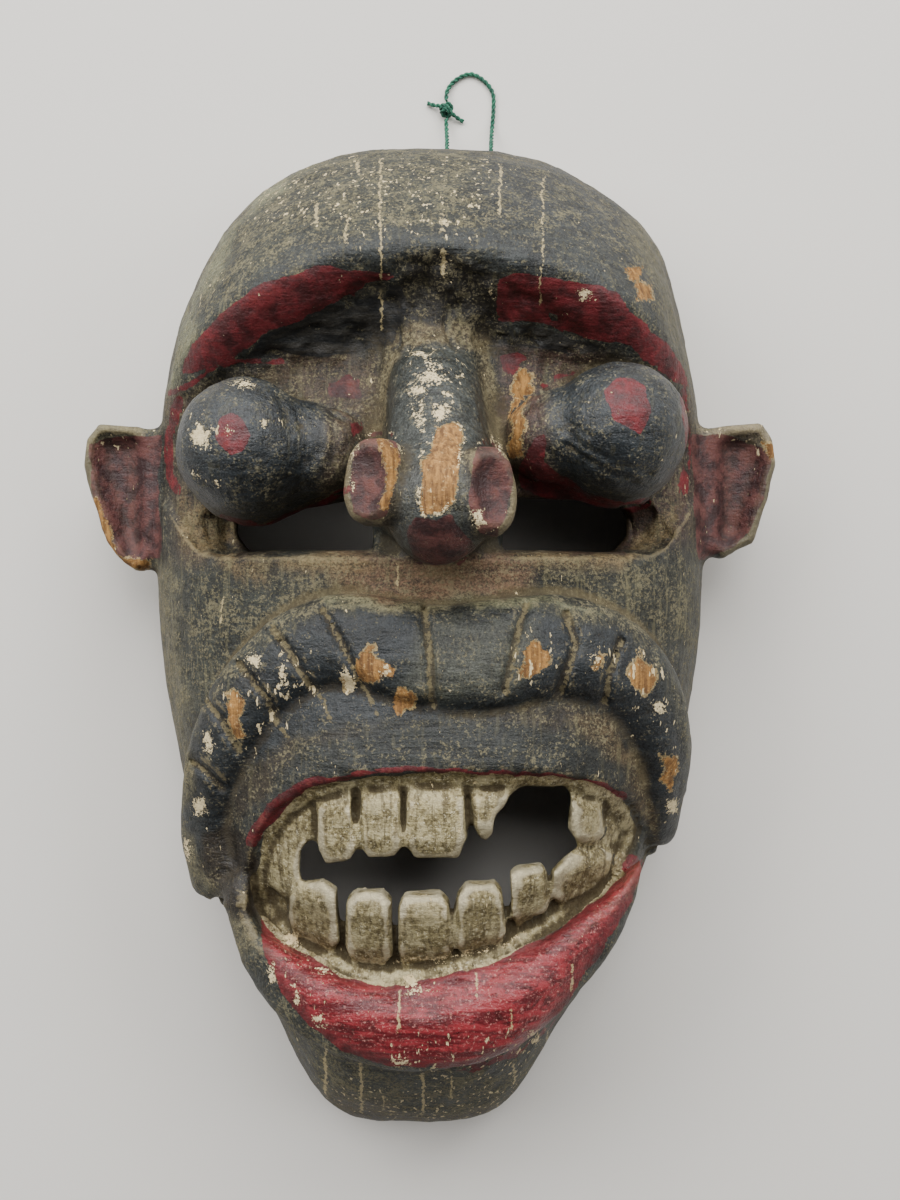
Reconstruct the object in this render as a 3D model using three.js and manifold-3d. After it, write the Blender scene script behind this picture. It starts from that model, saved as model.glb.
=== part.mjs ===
// A carved wooden shaman mask with a loop of twine to hang it by, lying on its back rim.
// Millimetres, +Z up. The rim lies on z = 0, the face looks up and the crown points to +Y.
// The origin is on the floor, midway between crown and chin and between the ears.

import * as THREE from 'three';
import { LoftGeometry } from 'three/addons/geometries/LoftGeometry.js';
import { mergeVertices } from 'three/addons/utils/BufferGeometryUtils.js';
import Module from 'manifold-3d';

const wasm = await Module();
wasm.setup();

// Head block
const HEAD_WIDTH = 203;
const HEAD_HEIGHT = 362;
const FACE_DEPTH = 85; // from the rim to the plain front of the face
const MUZZLE_RISE = 22; // how far the mouth stands out of the plain front
const BROW_RISE = 20;
const SOCKET_DEPTH = 9;
const RIM_WALL = 13; // thickness of the block at the rim
const FRONT_WALL = 20; // thickness of the block behind the plain front

// Ears
const EAR_SPAN = 248;
const EAR_THICKNESS = 15;
const EAR_HEIGHT = 27; // from the rim to the back of the ears
const EAR_DISH = 6;
const EAR_ROOT = 10; // how far an ear runs into the head
const EAR_BEVEL = 0.111; // of how far the ear stands out

// Eyes and the slits to see through
const LEFT_EYE_RADIUS = 22.8;
const RIGHT_EYE_RADIUS = 22.4;
const EYE_STEM_RADIUS = 12;
const LEFT_EYE_RISE = 8; // from the plain front to the ball's middle
const RIGHT_EYE_RISE = 9;
const EYE_STEM_RISE = 2;
const LID_THICKNESS = 2;
const SLIT_LENGTH = 46;
const SLIT_HEIGHT = 17; // its upper half is under the eye

// Nose
const NOSE_ROOT_RADIUS = 14.5;
const NOSE_TIP_RADIUS = 16.5;
const NOSTRIL_WIDTH = 18;
const NOSTRIL_LENGTH = 27;
const NOSTRIL_DISH = 3.5;

// Moustache and lips
const MOUSTACHE_WIDTH = 34; // at its middle
const MOUSTACHE_LIFT = 12;
const GROOVE_WIDTH = 6.5;
const GROOVE_DEPTH = 3;
const MOUSTACHE_END = 8; // length of its rounded ends
const LIP_WIDTH = 29;
const LIP_LIFT = 13;
const LIP_END = 10;
const ROLL_SINK = 2; // how deep the middles of both rolls are set in the face

// Mouth
const MOUTH_RECESS = 9;
const TOOTH_THICKNESS = 15;
const TOOTH_PROUD = 5; // how far a tooth stands out of the gum
const TOOTH_BEVEL = 1.6;
const GUM_WIDTH = 7;

// Twine and its holes
const CORD_DIAMETER = 1.8;
const CORD_HOLE = 5;
const HOLE_SPACING = 16.6;
const HOLES_X = 14.4;
const HOLE_HEIGHT = 12;
const LOOP_REACH = 36; // from the crown to the far end of the loop
const KNOT_LENGTH = 6.5;
const KNOT_WIDTH = 5;
const KNOT_TAIL = 8;
const CLEARANCE = 0.35; // between the twine and its knot

// Proportions of the head: the outline is widest a little above the middle
const HALF_WIDTH = HEAD_WIDTH / 2;
const CROWN_Y = HEAD_HEIGHT / 2;
const WIDEST_Y = 0.0625 * HEAD_HEIGHT;
const CROWN_POWER = 2.75; // squareness of the forehead's outline
const JAW_POWER = 1.755;
const CHIN_POWER = 1.6; // how much squarer the tip of the chin is
const CHIN_START = 0.775; // where it begins, as a share of the turn from side to chin
const JAW_LEAN = 0.055 * HALF_WIDTH; // the chin leans to the left
const CORNER_TURN = THREE.MathUtils.degToRad(55); // a blunt corner right of the crown
const CORNER_SPREAD = THREE.MathUtils.degToRad(9);
const CORNER_SWELL = 0.03;
const SIDE_POWER = 3.4; // how upright the sides stand
const FRONT_POWER = 2.6;
const HEAD_SIDES = 60;
const HEAD_RINGS = 12;
const CAVITY_SIDES = 30;
const CAVITY_RINGS = 7;
const LAST_RING = THREE.MathUtils.degToRad(88);
const THROUGH = 2 * FACE_DEPTH + 40; // cutters run past both faces

const { clamp, lerp } = THREE.MathUtils;
const WOOD = { color: 0x3c3d3b, roughness: 0.68, metalness: 0 };
const TWINE = { color: 0x1f5a45, roughness: 0.9, metalness: 0 };

// A closed geometry as a solid that can be joined and cut
function solid(geometry) {
  const bare = geometry.index ? geometry.toNonIndexed() : geometry.clone();
  bare.deleteAttribute('normal');
  bare.deleteAttribute('uv');
  const merged = mergeVertices(bare, 1e-3);
  const corners = merged.index.array;
  const kept = [];
  for (let i = 0; i < corners.length; i += 3) {
    const [a, b, c] = corners.slice(i, i + 3);
    if (a !== b && b !== c && c !== a) kept.push(a, b, c);
  }
  const make = (triangles) => new wasm.Manifold(new wasm.Mesh({
    numProp: 3,
    vertProperties: merged.attributes.position.array,
    triVerts: new Uint32Array(triangles),
  }));
  const made = make(kept);
  return made.volume() < 0 ? make(kept.reverse()) : made;
}

function meshOf(shape, name, finish) {
  const { vertProperties, triVerts } = shape.getMesh();
  const geometry = new THREE.BufferGeometry();
  geometry.setAttribute('position', new THREE.Float32BufferAttribute(vertProperties, 3));
  geometry.setIndex([...triVerts]);
  geometry.computeVertexNormals();
  const mesh = new THREE.Mesh(geometry, new THREE.MeshStandardMaterial(finish));
  mesh.name = name;
  return mesh;
}

const join = (shapes) => shapes.reduce((whole, shape) => whole.add(shape));
const signedPower = (value, power) => Math.sign(value) * Math.abs(value) ** power;
const dome = (q) => Math.max(0, 1 - q * q); // 1 in the middle, 0 from q = 1 on

function smoothStep(value, low, high) {
  const t = clamp((value - low) / (high - low), 0, 1);
  return t * t * (3 - 2 * t);
}

// A value read off a short list spread evenly over 0 to 1
function along(list, t) {
  const place = clamp(t, 0, 1) * (list.length - 1);
  const first = Math.min(Math.floor(place), list.length - 2);
  return lerp(list[first], list[first + 1], place - first);
}

// Carving places are shares of the front, which is a little smaller than the block
const FRONT_SHARE = 0.974;
const xOf = (share) => share * FRONT_SHARE * HALF_WIDTH;
const yOf = (share) => share * FRONT_SHARE * HEAD_HEIGHT;

function jawLean(y) {
  const share = Math.max(0, (WIDEST_Y - y) / (WIDEST_Y + CROWN_Y));
  return JAW_LEAN * share * share;
}

// How far the outline is from the middle of its widest line
function outlineRadius(angle) {
  const above = Math.sin(angle) > 0;
  const sideways = Math.abs(Math.cos(angle));
  const upwards = Math.abs(Math.sin(angle));
  const rise = above ? CROWN_Y - WIDEST_Y : CROWN_Y + WIDEST_Y;
  const turn = Math.atan2(upwards, sideways) / (Math.PI / 2);
  const blunt = Math.max(0, (turn - CHIN_START) / (1 - CHIN_START)) ** 2;
  const power = above ? CROWN_POWER : JAW_POWER + CHIN_POWER * blunt;
  const radius = ((sideways / HALF_WIDTH) ** power + (upwards / rise) ** power) ** (-1 / power);
  const corner = Math.atan2(Math.sin(angle), Math.cos(angle)) - CORNER_TURN;
  return radius * (1 + CORNER_SWELL * Math.exp(-((corner / CORNER_SPREAD) ** 2)));
}

// A point of the head's outline, moved in by inset and drawn in towards the middle by reach
function outlinePoint(angle, inset, reach) {
  const radius = reach * (outlineRadius(angle) - inset);
  const y = WIDEST_Y + radius * Math.sin(angle);
  return new THREE.Vector2(radius * Math.cos(angle) - jawLean(y), y);
}

// 0 in the middle of the face and 1 on its outline
function reachOf(x, y) {
  const [right, up] = [x + jawLean(y), y - WIDEST_Y];
  return Math.hypot(right, up) / outlineRadius(Math.atan2(up, right));
}

function plainFront(x, y) {
  const reach = Math.min(1, reachOf(x, y));
  return FACE_DEPTH * (1 - reach ** SIDE_POWER) ** (1 / FRONT_POWER);
}

// The brow's crest, arched over both eyes
const browY = (x) => yOf(0.341) - yOf(0.123) * (x / HALF_WIDTH) ** 2;

function browRise(x, y) {
  const above = Math.max(0, y - browY(x)) / yOf(0.13);
  const below = Math.max(0, browY(x) - y - yOf(0.045)) / yOf(0.04);
  return BROW_RISE * Math.exp(-(above ** 2) - below ** 2);
}

// The muzzle swells out around the mouth, and the hollow behind it follows by half
const muzzleRise = (x, y) => MUZZLE_RISE * dome(Math.hypot(x / xOf(0.9), (y - yOf(-0.21)) / yOf(0.27)));
const edgeFade = (x, y) => 1 - Math.min(1, reachOf(x, y)) ** 6;
const relief = (x, y) => (browRise(x, y) + muzzleRise(x, y)) * edgeFade(x, y);
const hollowRelief = (x, y) => 0.5 * muzzleRise(x, y) * edgeFade(x, y);
const frontZ = (x, y) => plainFront(x, y) + relief(x, y);

// The way the face looks at a place, half turned towards straight up
function frontNormal(x, y) {
  const step = 2;
  const slopeX = (frontZ(x + step, y) - frontZ(x - step, y)) / (2 * step);
  const slopeY = (frontZ(x, y + step) - frontZ(x, y - step)) / (2 * step);
  return new THREE.Vector3(-clamp(slopeX, -2, 2) / 2, -clamp(slopeY, -2, 2) / 2, 1).normalize();
}

// A loft through rings of points, closed at both ends by a fan to the ring's middle
function closedLoft(rings) {
  const gather = (ring) => {
    const middle = new THREE.Vector3();
    ring.forEach((point) => middle.addScaledVector(point, 1 / ring.length));
    return ring.map(() => middle);
  };
  return solid(new LoftGeometry([gather(rings[0]), ...rings, gather(rings[rings.length - 1])]));
}

// A domed block over the outline, as rings from the rim to the front
function domedBlock({ inset, depth, sides, rings, start, raise }) {
  const sections = [];
  for (let ring = 0; ring <= rings; ring++) {
    const turn = LAST_RING * ring / rings;
    const reach = Math.cos(turn) ** (2 / SIDE_POWER);
    const height = depth * Math.sin(turn) ** (2 / FRONT_POWER);
    const section = [];
    for (let side = 0; side < sides; side++) {
      const { x, y } = outlinePoint(2 * Math.PI * side / sides, inset, reach);
      section.push(new THREE.Vector3(x, y, ring ? height + raise(x, y) : start));
    }
    sections.push(section);
  }
  return closedLoft(sections);
}

// A round-ended taper between two balls
function egg(start, end, startRadius, endRadius, sides = 20) {
  const length = start.distanceTo(end);
  const meet = Math.asin((startRadius - endRadius) / length);
  const steps = 4;
  const profile = [];
  for (let i = 0; i <= steps; i++) {
    const angle = lerp(-Math.PI / 2, meet, i / steps);
    profile.push(new THREE.Vector2(startRadius * Math.cos(angle), startRadius * Math.sin(angle)));
  }
  for (let i = 0; i <= steps; i++) {
    const angle = lerp(meet, Math.PI / 2, i / steps);
    const up = length + endRadius * Math.sin(angle);
    profile.push(new THREE.Vector2(endRadius * Math.cos(angle), up));
  }
  const lay = new THREE.Quaternion();
  lay.setFromUnitVectors(new THREE.Vector3(0, 1, 0), end.clone().sub(start).normalize());
  const geometry = new THREE.LatheGeometry(profile, sides).applyQuaternion(lay);
  return solid(geometry.translate(start.x, start.y, start.z));
}

// A ball stretched to three half sizes, turned and placed
function pebble(halfSizes, turn, place, sides = 16) {
  const geometry = new THREE.SphereGeometry(1, sides, Math.round(sides * 0.6));
  const seat = new THREE.Matrix4().compose(
    new THREE.Vector3(...place),
    new THREE.Quaternion().setFromEuler(new THREE.Euler(...turn)),
    new THREE.Vector3(...halfSizes),
  );
  return solid(geometry.applyMatrix4(seat));
}

// A roll of wood that follows places on the face, sunk in it by half
class Roll {
  constructor({ places, width, lift, endLength }) {
    Object.assign(this, { width, lift });
    this.route = new THREE.CatmullRomCurve3(places.map(([x, y]) => {
      const point = new THREE.Vector3(xOf(x), yOf(y), 0);
      point.z = frontZ(point.x, point.y) - ROLL_SINK;
      return point;
    }));
    this.end = endLength / this.route.getLength();
  }

  frame(t) {
    const centre = this.route.getPointAt(t);
    const forward = this.route.getTangentAt(t);
    const across = forward.clone().cross(frontNormal(centre.x, centre.y)).normalize();
    const up = across.clone().cross(forward).normalize();
    return { centre, forward, across, up };
  }

  section(t, share, sides) {
    const { centre, across, up } = this.frame(t);
    const points = [];
    for (let side = 0; side < sides; side++) {
      const angle = 2 * Math.PI * side / sides;
      const sideways = signedPower(Math.cos(angle), 0.8) * along(this.width, t) * share / 2;
      const upwards = signedPower(Math.sin(angle), 0.8) * along(this.lift, t) * share;
      points.push(centre.clone().addScaledVector(across, sideways).addScaledVector(up, upwards));
    }
    return points;
  }

  solid(stations, sides) {
    const rounding = [[0, 0.35], [0.15, 0.72], [0.5, 0.94]];
    const near = rounding.map(([t, share]) => this.section(t * this.end, share, sides));
    const far = rounding.map(([t, share]) => this.section(1 - t * this.end, share, sides)).reverse();
    const between = [];
    for (let i = 0; i <= stations; i++) {
      between.push(this.section(lerp(this.end, 1 - this.end, i / stations), 1, sides));
    }
    return closedLoft([...near, ...between, ...far]);
  }

  // A gouged groove across the roll, turned by slant
  groove(t, slant) {
    const { centre, across, up } = this.frame(t);
    const run = across.clone().applyAxisAngle(up, slant);
    const aside = up.clone().cross(run);
    const geometry = new THREE.SphereGeometry(1, 7, 4);
    geometry.scale(along(this.width, t) * 0.62, GROOVE_WIDTH / 2, GROOVE_DEPTH);
    const seat = new THREE.Matrix4().makeBasis(run, aside, up);
    centre.addScaledVector(up, along(this.lift, t));
    return solid(geometry.applyMatrix4(seat.setPosition(centre)));
  }
}

// Straight-sided cutter or block over a closed outline of [x, y] places
function prism(outline, bottom, top) {
  const shape = new THREE.Shape(outline.map(([x, y]) => new THREE.Vector2(x, y)));
  const geometry = new THREE.ExtrudeGeometry(shape, { depth: top - bottom, bevelEnabled: false });
  return solid(geometry.translate(0, 0, bottom));
}

// The hollow under both brows that the eyes stand in
const socketFloor = (x, y) => plainFront(x, y) - SOCKET_DEPTH * (1 - Math.min(1, reachOf(x, y)) ** 4);
const socketBottom = (x) => yOf(0.084) + yOf(0.055) * smoothStep(Math.abs(x) / HALF_WIDTH, 0.62, 0.95) ** 2;

function socketCut() {
  const stations = 26;
  const overhang = yOf(0.045);
  const sections = [];
  for (let i = 0; i <= stations; i++) {
    const x = lerp(-0.985, 0.985, i / stations) * HALF_WIDTH;
    const at = (y, z) => new THREE.Vector3(x, y, z);
    const crest = at(browY(x), frontZ(x, browY(x)));
    const corner = at(browY(x) - overhang, socketFloor(x, browY(x) - overhang));
    const under = corner.clone().lerp(crest, 0.45);
    under.y += overhang * 0.2;
    const bottom = socketBottom(x);
    const section = [corner, under, crest, at(crest.y, THROUGH), at(bottom, THROUGH)];
    for (let step = 0; step < 4; step++) {
      const y = lerp(bottom, corner.y, step / 4);
      section.push(at(y, socketFloor(x, y)));
    }
    sections.push(section);
  }
  return closedLoft(sections);
}

function eyeSlit(side) {
  const inner = side < 0 ? -xOf(0.19) : xOf(0.25);
  const outer = inner + side * SLIT_LENGTH;
  const low = socketBottom(inner) + 0.5;
  const high = low + SLIT_HEIGHT;
  const corner = SLIT_HEIGHT * 0.25;
  const outline = [
    [inner, low], [outer - side * corner, low], [outer, low + corner],
    [outer, high - corner], [outer - side * corner, high], [inner, high],
  ];
  return prism(side < 0 ? outline.reverse() : outline, -1, THROUGH);
}

// An eye is a ball with a stem that runs in to the nose, over the crescent of its lower lid
function eye({ ball, stem, radius, lid }) {
  const seat = ([x, y, sink]) => {
    const point = new THREE.Vector3(xOf(x), yOf(y), 0);
    point.z = plainFront(point.x, point.y) + sink;
    return point;
  };
  const [from, to] = [seat(ball), seat(stem)];
  const drop = new THREE.Vector3(0, -lid, -radius * 0.42);
  const under = egg(from.clone().add(drop), to.clone().add(drop), radius, EYE_STEM_RADIUS, 14);
  return egg(from, to, radius, EYE_STEM_RADIUS, 18).add(under);
}

const EYES = [
  {
    ball: [-0.58, 0.175, LEFT_EYE_RISE], stem: [-0.34, 0.174, EYE_STEM_RISE],
    radius: LEFT_EYE_RADIUS, lid: LID_THICKNESS,
  },
  {
    ball: [0.615, 0.191, RIGHT_EYE_RISE], stem: [0.4, 0.186, EYE_STEM_RISE],
    radius: RIGHT_EYE_RADIUS, lid: 1.3 * LID_THICKNESS,
  },
];

// The nose is a ridge with a round tip, tied to the face by wider ridges under it
const NOSE_ROOT = new THREE.Vector3(xOf(0.02), yOf(0.228), 1.03 * FACE_DEPTH);
const NOSE_TIP = new THREE.Vector3(xOf(0.045), yOf(0.12), 1.385 * FACE_DEPTH);

function nose() {
  const ridges = [[0, 1, 18], [0.15, 1.04, 14], [0.3, 1.12, 12]].map(([sink, swell, sides]) => {
    const back = new THREE.Vector3(0, 0.035 * sink * HEAD_HEIGHT, -sink * FACE_DEPTH);
    const [root, tip] = [NOSE_ROOT.clone().add(back), NOSE_TIP.clone().add(back)];
    return egg(root, tip, swell * NOSE_ROOT_RADIUS, swell * NOSE_TIP_RADIUS, sides);
  });
  return join([...ridges, nostril(-1), nostril(1)]);
}

// A nostril is a flared disc beside the tip, dished in front
function nostril(side) {
  const aside = (side < 0 ? 1.12 : 0.76) * NOSE_TIP_RADIUS;
  const upwards = (side < 0 ? 0.014 : 0.006) * HEAD_HEIGHT;
  const place = NOSE_TIP.clone().add(new THREE.Vector3(side * aside, upwards, 0.08 * FACE_DEPTH));
  const turn = [0, side * 0.35, side * 0.08];
  const thick = NOSTRIL_WIDTH / 2;
  const disc = pebble([NOSTRIL_WIDTH / 2, NOSTRIL_LENGTH / 2, thick], turn, place.toArray(), 14);
  const forward = new THREE.Vector3(0, 0, 1).applyEuler(new THREE.Euler(...turn));
  const dishSize = [NOSTRIL_WIDTH * 0.36, NOSTRIL_LENGTH * 0.38, 1.4 * NOSTRIL_DISH];
  const front = place.clone().addScaledVector(forward, thick + dishSize[2] - NOSTRIL_DISH);
  return disc.subtract(pebble(dishSize, turn, front.toArray(), 12));
}

// The moustache sweeps from its hooked left end over the middle to its right end
const MOUSTACHE = [
  [-0.68, -0.248], [-0.735, -0.17], [-0.66, -0.093], [-0.51, -0.032], [-0.319, 0],
  [0.073, -0.014], [0.45, -0.006], [0.665, -0.036], [0.775, -0.1], [0.79, -0.21],
];
const MOUSTACHE_TAPER = [0.8, 0.55, 0.6, 0.72, 0.85, 1, 0.97, 0.82, 0.62, 0.42];
const MOUSTACHE_FORM = [0.85, 0.8, 0.85, 0.9, 1, 1, 1, 0.95, 0.9, 0.8];

// The grooves' places along the moustache and their slants
const GROOVES = [
  [0.115, -0.1], [0.2, -0.15], [0.275, -0.3], [0.35, -0.35], [0.425, -0.4],
  [0.54, 0], [0.665, 0.3], [0.73, 0.3], [0.79, 0.3],
];

const moustache = new Roll({
  places: MOUSTACHE,
  width: MOUSTACHE_TAPER.map((share) => share * MOUSTACHE_WIDTH),
  lift: MOUSTACHE_FORM.map((share) => share * MOUSTACHE_LIFT),
  endLength: MOUSTACHE_END,
});

const LIP = [
  [-0.64, -0.215], [-0.49, -0.285], [-0.335, -0.324], [-0.03, -0.347],
  [0.24, -0.325], [0.43, -0.285], [0.565, -0.243], [0.68, -0.19],
];
const LIP_TAPER = [0.45, 0.85, 1, 1, 1, 1, 0.85, 0.45];

const lowerLip = new Roll({
  places: LIP,
  width: LIP_TAPER.map((share) => share * LIP_WIDTH),
  lift: LIP_TAPER.map((share) => (0.35 + 0.65 * share) * LIP_LIFT),
  endLength: LIP_END,
});

// The mouth's corners and edges
const MOUTH_LEFT = [-0.62, -0.21];
const MOUTH_RIGHT = [0.71, -0.175];

// An arched line from one corner of the mouth to the other, through a place at its middle
function mouthLine(middleY, fullness, steps = 14) {
  const points = [];
  for (let i = 0; i <= steps; i++) {
    const t = i / steps;
    const bow = 1 - Math.abs(2 * t - 1) ** fullness;
    const chord = lerp(MOUTH_LEFT[1], MOUTH_RIGHT[1], t);
    points.push([xOf(lerp(MOUTH_LEFT[0], MOUTH_RIGHT[0], t)), yOf(lerp(chord, middleY, bow))]);
  }
  return points;
}

const UPPER_LINE = mouthLine(-0.113, 2.6);
const LOWER_LINE = mouthLine(-0.304, 2.1);
const heightAt = (line, x) => {
  const next = line.findIndex((point) => point[0] >= x);
  const [a, b] = [line[Math.max(0, next - 1)], line[next < 0 ? line.length - 1 : next]];
  return b[0] === a[0] ? a[1] : lerp(a[1], b[1], clamp((x - a[0]) / (b[0] - a[0]), 0, 1));
};

const gumZ = (x, y) => frontZ(x, y) - MOUTH_RECESS;

// The lens-shaped recess between the lips, with the gum as its floor
function mouthRecess() {
  const edge = [...UPPER_LINE.slice(1, -1).reverse(), ...LOWER_LINE];
  const centre = [xOf(0.04), yOf(-0.205)];
  const ring = (share, z) => edge.map(([x, y]) => {
    const [px, py] = [lerp(centre[0], x, share), lerp(centre[1], y, share)];
    return new THREE.Vector3(px, py, z(px, py));
  });
  const sections = [ring(1.03, () => THROUGH), ring(1, gumZ), ring(0.7, gumZ), ring(0.35, gumZ)];
  return closedLoft(sections);
}

// Teeth as seen from the front: left edge, right edge and biting edge
const UPPER_TEETH = [
  [-0.535, -0.385, -0.186], [-0.366, -0.236, -0.195], [-0.215, -0.078, -0.19],
  [-0.062, 0.124, -0.189], [0.138, 0.206, -0.174], [0.455, 0.64, -0.184],
];
const LOWER_TEETH = [
  [-0.452, -0.282, -0.221], [-0.258, -0.118, -0.222], [-0.098, 0.082, -0.22],
  [0.098, 0.238, -0.213], [0.26, 0.385, -0.203], [0.402, 0.62, -0.193],
];

function tooth([left, right, bite], root) {
  const [x0, x1] = [xOf(left), xOf(right)];
  const middle = (x0 + x1) / 2;
  const [low, high] = [Math.min(yOf(bite), root), Math.max(yOf(bite), root)];
  const inset = TOOTH_BEVEL;
  const halfWidth = (x1 - x0) / 2 - inset;
  const shape = new THREE.Shape([
    new THREE.Vector2(-halfWidth, low + inset), new THREE.Vector2(halfWidth, low + inset),
    new THREE.Vector2(halfWidth, high - inset), new THREE.Vector2(-halfWidth, high - inset),
  ]);
  const geometry = new THREE.ExtrudeGeometry(shape, {
    depth: TOOTH_THICKNESS - 2 * inset, bevelSize: inset, bevelThickness: inset, bevelSegments: 1,
  });
  const y = (low + high) / 2;
  const lean = -Math.atan((gumZ(middle + 4, y) - gumZ(middle - 4, y)) / 8);
  const front = gumZ(middle, y) + TOOTH_PROUD;
  geometry.translate(0, 0, inset - TOOTH_THICKNESS);
  return solid(geometry.rotateY(lean).translate(middle, 0, front));
}

function teeth() {
  const upper = UPPER_TEETH.map((place) => {
    const middle = xOf((place[0] + place[1]) / 2);
    return tooth(place, heightAt(UPPER_LINE, middle) - 0.5);
  });
  const lower = LOWER_TEETH.map((place) => {
    const middle = xOf((place[0] + place[1]) / 2);
    return tooth(place, heightAt(LOWER_LINE, middle) + GUM_WIDTH * 0.6);
  });
  return join([...upper, ...lower]);
}

// The opening between the rows of teeth, cut up where two upper teeth are lost
function mouthOpening() {
  const lens = (share) => (x) => lerp(heightAt(UPPER_LINE, x), heightAt(LOWER_LINE, x), share);
  const [top, bottom] = [lens(0.3), lens(0.86)];
  const xs = [-0.42, -0.3, -0.1, 0.1, 0.3, 0.42, 0.52];
  const upper = xs.map((x) => [xOf(x), top(xOf(x))]);
  const lower = xs.map((x) => [xOf(x), bottom(xOf(x))]);
  lower[0][1] = lens(0.62)(xOf(-0.42));
  lower[6][1] = lens(0.62)(xOf(0.52));
  const gap = [
    [xOf(0.2), yOf(-0.2)], [xOf(0.46), yOf(-0.2)], [xOf(0.455), yOf(-0.15)],
    [xOf(0.43), yOf(-0.131)], [xOf(0.24), yOf(-0.129)], [xOf(0.205), yOf(-0.15)],
  ];
  return prism([...lower, ...upper.reverse()], -1, THROUGH).add(prism(gap, -1, THROUGH));
}

// An ear is a dished flap whose outline runs out from the head, round and back
const EAR_TOP = 0.216;
const EAR_LOBE = 0.066;

function ear(side) {
  const reach = EAR_SPAN / 2 - HALF_WIDTH;
  const droop = side < 0 ? 0 : 0.012;
  const root = -EAR_ROOT / reach;
  const edge = [
    [root, EAR_TOP - 0.008], [0.178, EAR_TOP], [0.752, EAR_TOP + 0.002], [0.945, 0.202], [1, 0.175],
    [0.862, 0.14], [0.642, 0.095], [0.366, EAR_LOBE + 0.008 + droop], [0.146, EAR_LOBE + droop],
    [0, EAR_LOBE + 0.004 + droop], [root, EAR_LOBE + 0.02],
  ];
  const shape = new THREE.Shape(edge.map(([share, y]) => {
    return new THREE.Vector2(side * (HALF_WIDTH + share * reach), yOf(y));
  }));
  const bevel = EAR_BEVEL * reach;
  const geometry = new THREE.ExtrudeGeometry(shape, {
    depth: EAR_THICKNESS - 2 * bevel, bevelSize: bevel, bevelThickness: bevel,
    bevelOffset: -bevel, bevelSegments: 2,
  });
  const flap = solid(geometry.translate(0, 0, EAR_HEIGHT + bevel));
  const middle = [
    side * (HALF_WIDTH + 0.47 * reach), yOf((EAR_TOP + EAR_LOBE) / 2), EAR_HEIGHT + EAR_THICKNESS,
  ];
  return flap.subtract(pebble([reach * 0.43, yOf(0.063), EAR_DISH], [0, 0, side * 0.12], middle));
}

// Two holes through the top wall close to the rim
const HOLE_XS = [HOLES_X - HOLE_SPACING / 2, HOLES_X + HOLE_SPACING / 2];

function cordHole(x) {
  const length = 4 * RIM_WALL;
  const geometry = new THREE.CylinderGeometry(CORD_HOLE / 2, CORD_HOLE / 2, length, 12);
  return solid(geometry.translate(x, CROWN_Y, HOLE_HEIGHT));
}

function mask() {
  const outside = domedBlock({
    inset: 0, depth: FACE_DEPTH, sides: HEAD_SIDES, rings: HEAD_RINGS, start: 0, raise: relief,
  });
  const inside = domedBlock({
    inset: RIM_WALL, depth: FACE_DEPTH - FRONT_WALL, sides: CAVITY_SIDES, rings: CAVITY_RINGS, start: -1,
    raise: hollowRelief,
  });
  let head = outside.subtract(socketCut());
  head = head.add(moustache.solid(27, 10)).add(lowerLip.solid(16, 9));
  head = head.subtract(join(GROOVES.map(([t, slant]) => moustache.groove(t, slant))));
  head = head.subtract(mouthRecess()).subtract(mouthOpening());
  head = join([head, ear(-1), ear(1), teeth()]);
  head = head.subtract(eyeSlit(-1).add(eyeSlit(1)));
  head = join([head, ...EYES.map(eye), nose()]);
  head = head.subtract(inside);
  return head.subtract(join(HOLE_XS.map(cordHole)));
}

// The twine's route: from the knot in through the left hole, out of the right one and round
const LOOP_END = CROWN_Y + LOOP_REACH;
const KNOT = new THREE.Vector3(HOLE_XS[0] - 0.4, CROWN_Y + 0.6 * LOOP_REACH, KNOT_WIDTH / 2);
const CORD_RADIUS = CORD_DIAMETER / 2;

function cordRoute() {
  const [left, right] = HOLE_XS;
  const middle = HOLES_X;
  const inner = CROWN_Y - RIM_WALL;
  const floor = CORD_RADIUS + 0.15;
  const knotEnd = KNOT_LENGTH / 2 + CLEARANCE;
  const route = [
    [KNOT.x, KNOT.y - knotEnd, KNOT.z], [KNOT.x + 0.2, KNOT.y - knotEnd - 4, 2.9],
    [left, CROWN_Y + 9, 6.2], [left, CROWN_Y + 3, 10.8], [left, CROWN_Y - 3, HOLE_HEIGHT],
    [left, inner, HOLE_HEIGHT], [left + 0.8, inner - 4.5, HOLE_HEIGHT - 0.6],
    [left + 4, inner - 7.6, HOLE_HEIGHT - 1.2], [middle, inner - 8.4, HOLE_HEIGHT - 1.5],
    [right - 4, inner - 7.6, HOLE_HEIGHT - 1.2], [right - 0.8, inner - 4.5, HOLE_HEIGHT - 0.6],
    [right, inner, HOLE_HEIGHT], [right, CROWN_Y - 3, HOLE_HEIGHT], [right + 0.1, CROWN_Y + 3, 10.6],
    [right + 0.4, CROWN_Y + 9, 5.4], [right + 0.8, CROWN_Y + 15, 1.8],
    [right + 1.3, CROWN_Y + 0.6 * LOOP_REACH, floor], [right + 1, CROWN_Y + 0.8 * LOOP_REACH, floor],
    [right - 2.6, LOOP_END - 2.4, floor], [middle + 0.6, LOOP_END, floor],
    [left + 3, LOOP_END - 2.6, floor], [left + 0.1, LOOP_END - 6.6, 1.5],
    [KNOT.x, KNOT.y + knotEnd, KNOT.z],
  ];
  return new THREE.CatmullRomCurve3(route.map((point) => new THREE.Vector3(...point)));
}

function hangingCord() {
  const section = new THREE.Shape();
  section.absarc(0, 0, CORD_RADIUS, 0, 2 * Math.PI);
  const geometry = new THREE.ExtrudeGeometry(section, {
    steps: 50, curveSegments: 4, bevelEnabled: false, extrudePath: cordRoute(),
  });
  return solid(geometry);
}

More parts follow.
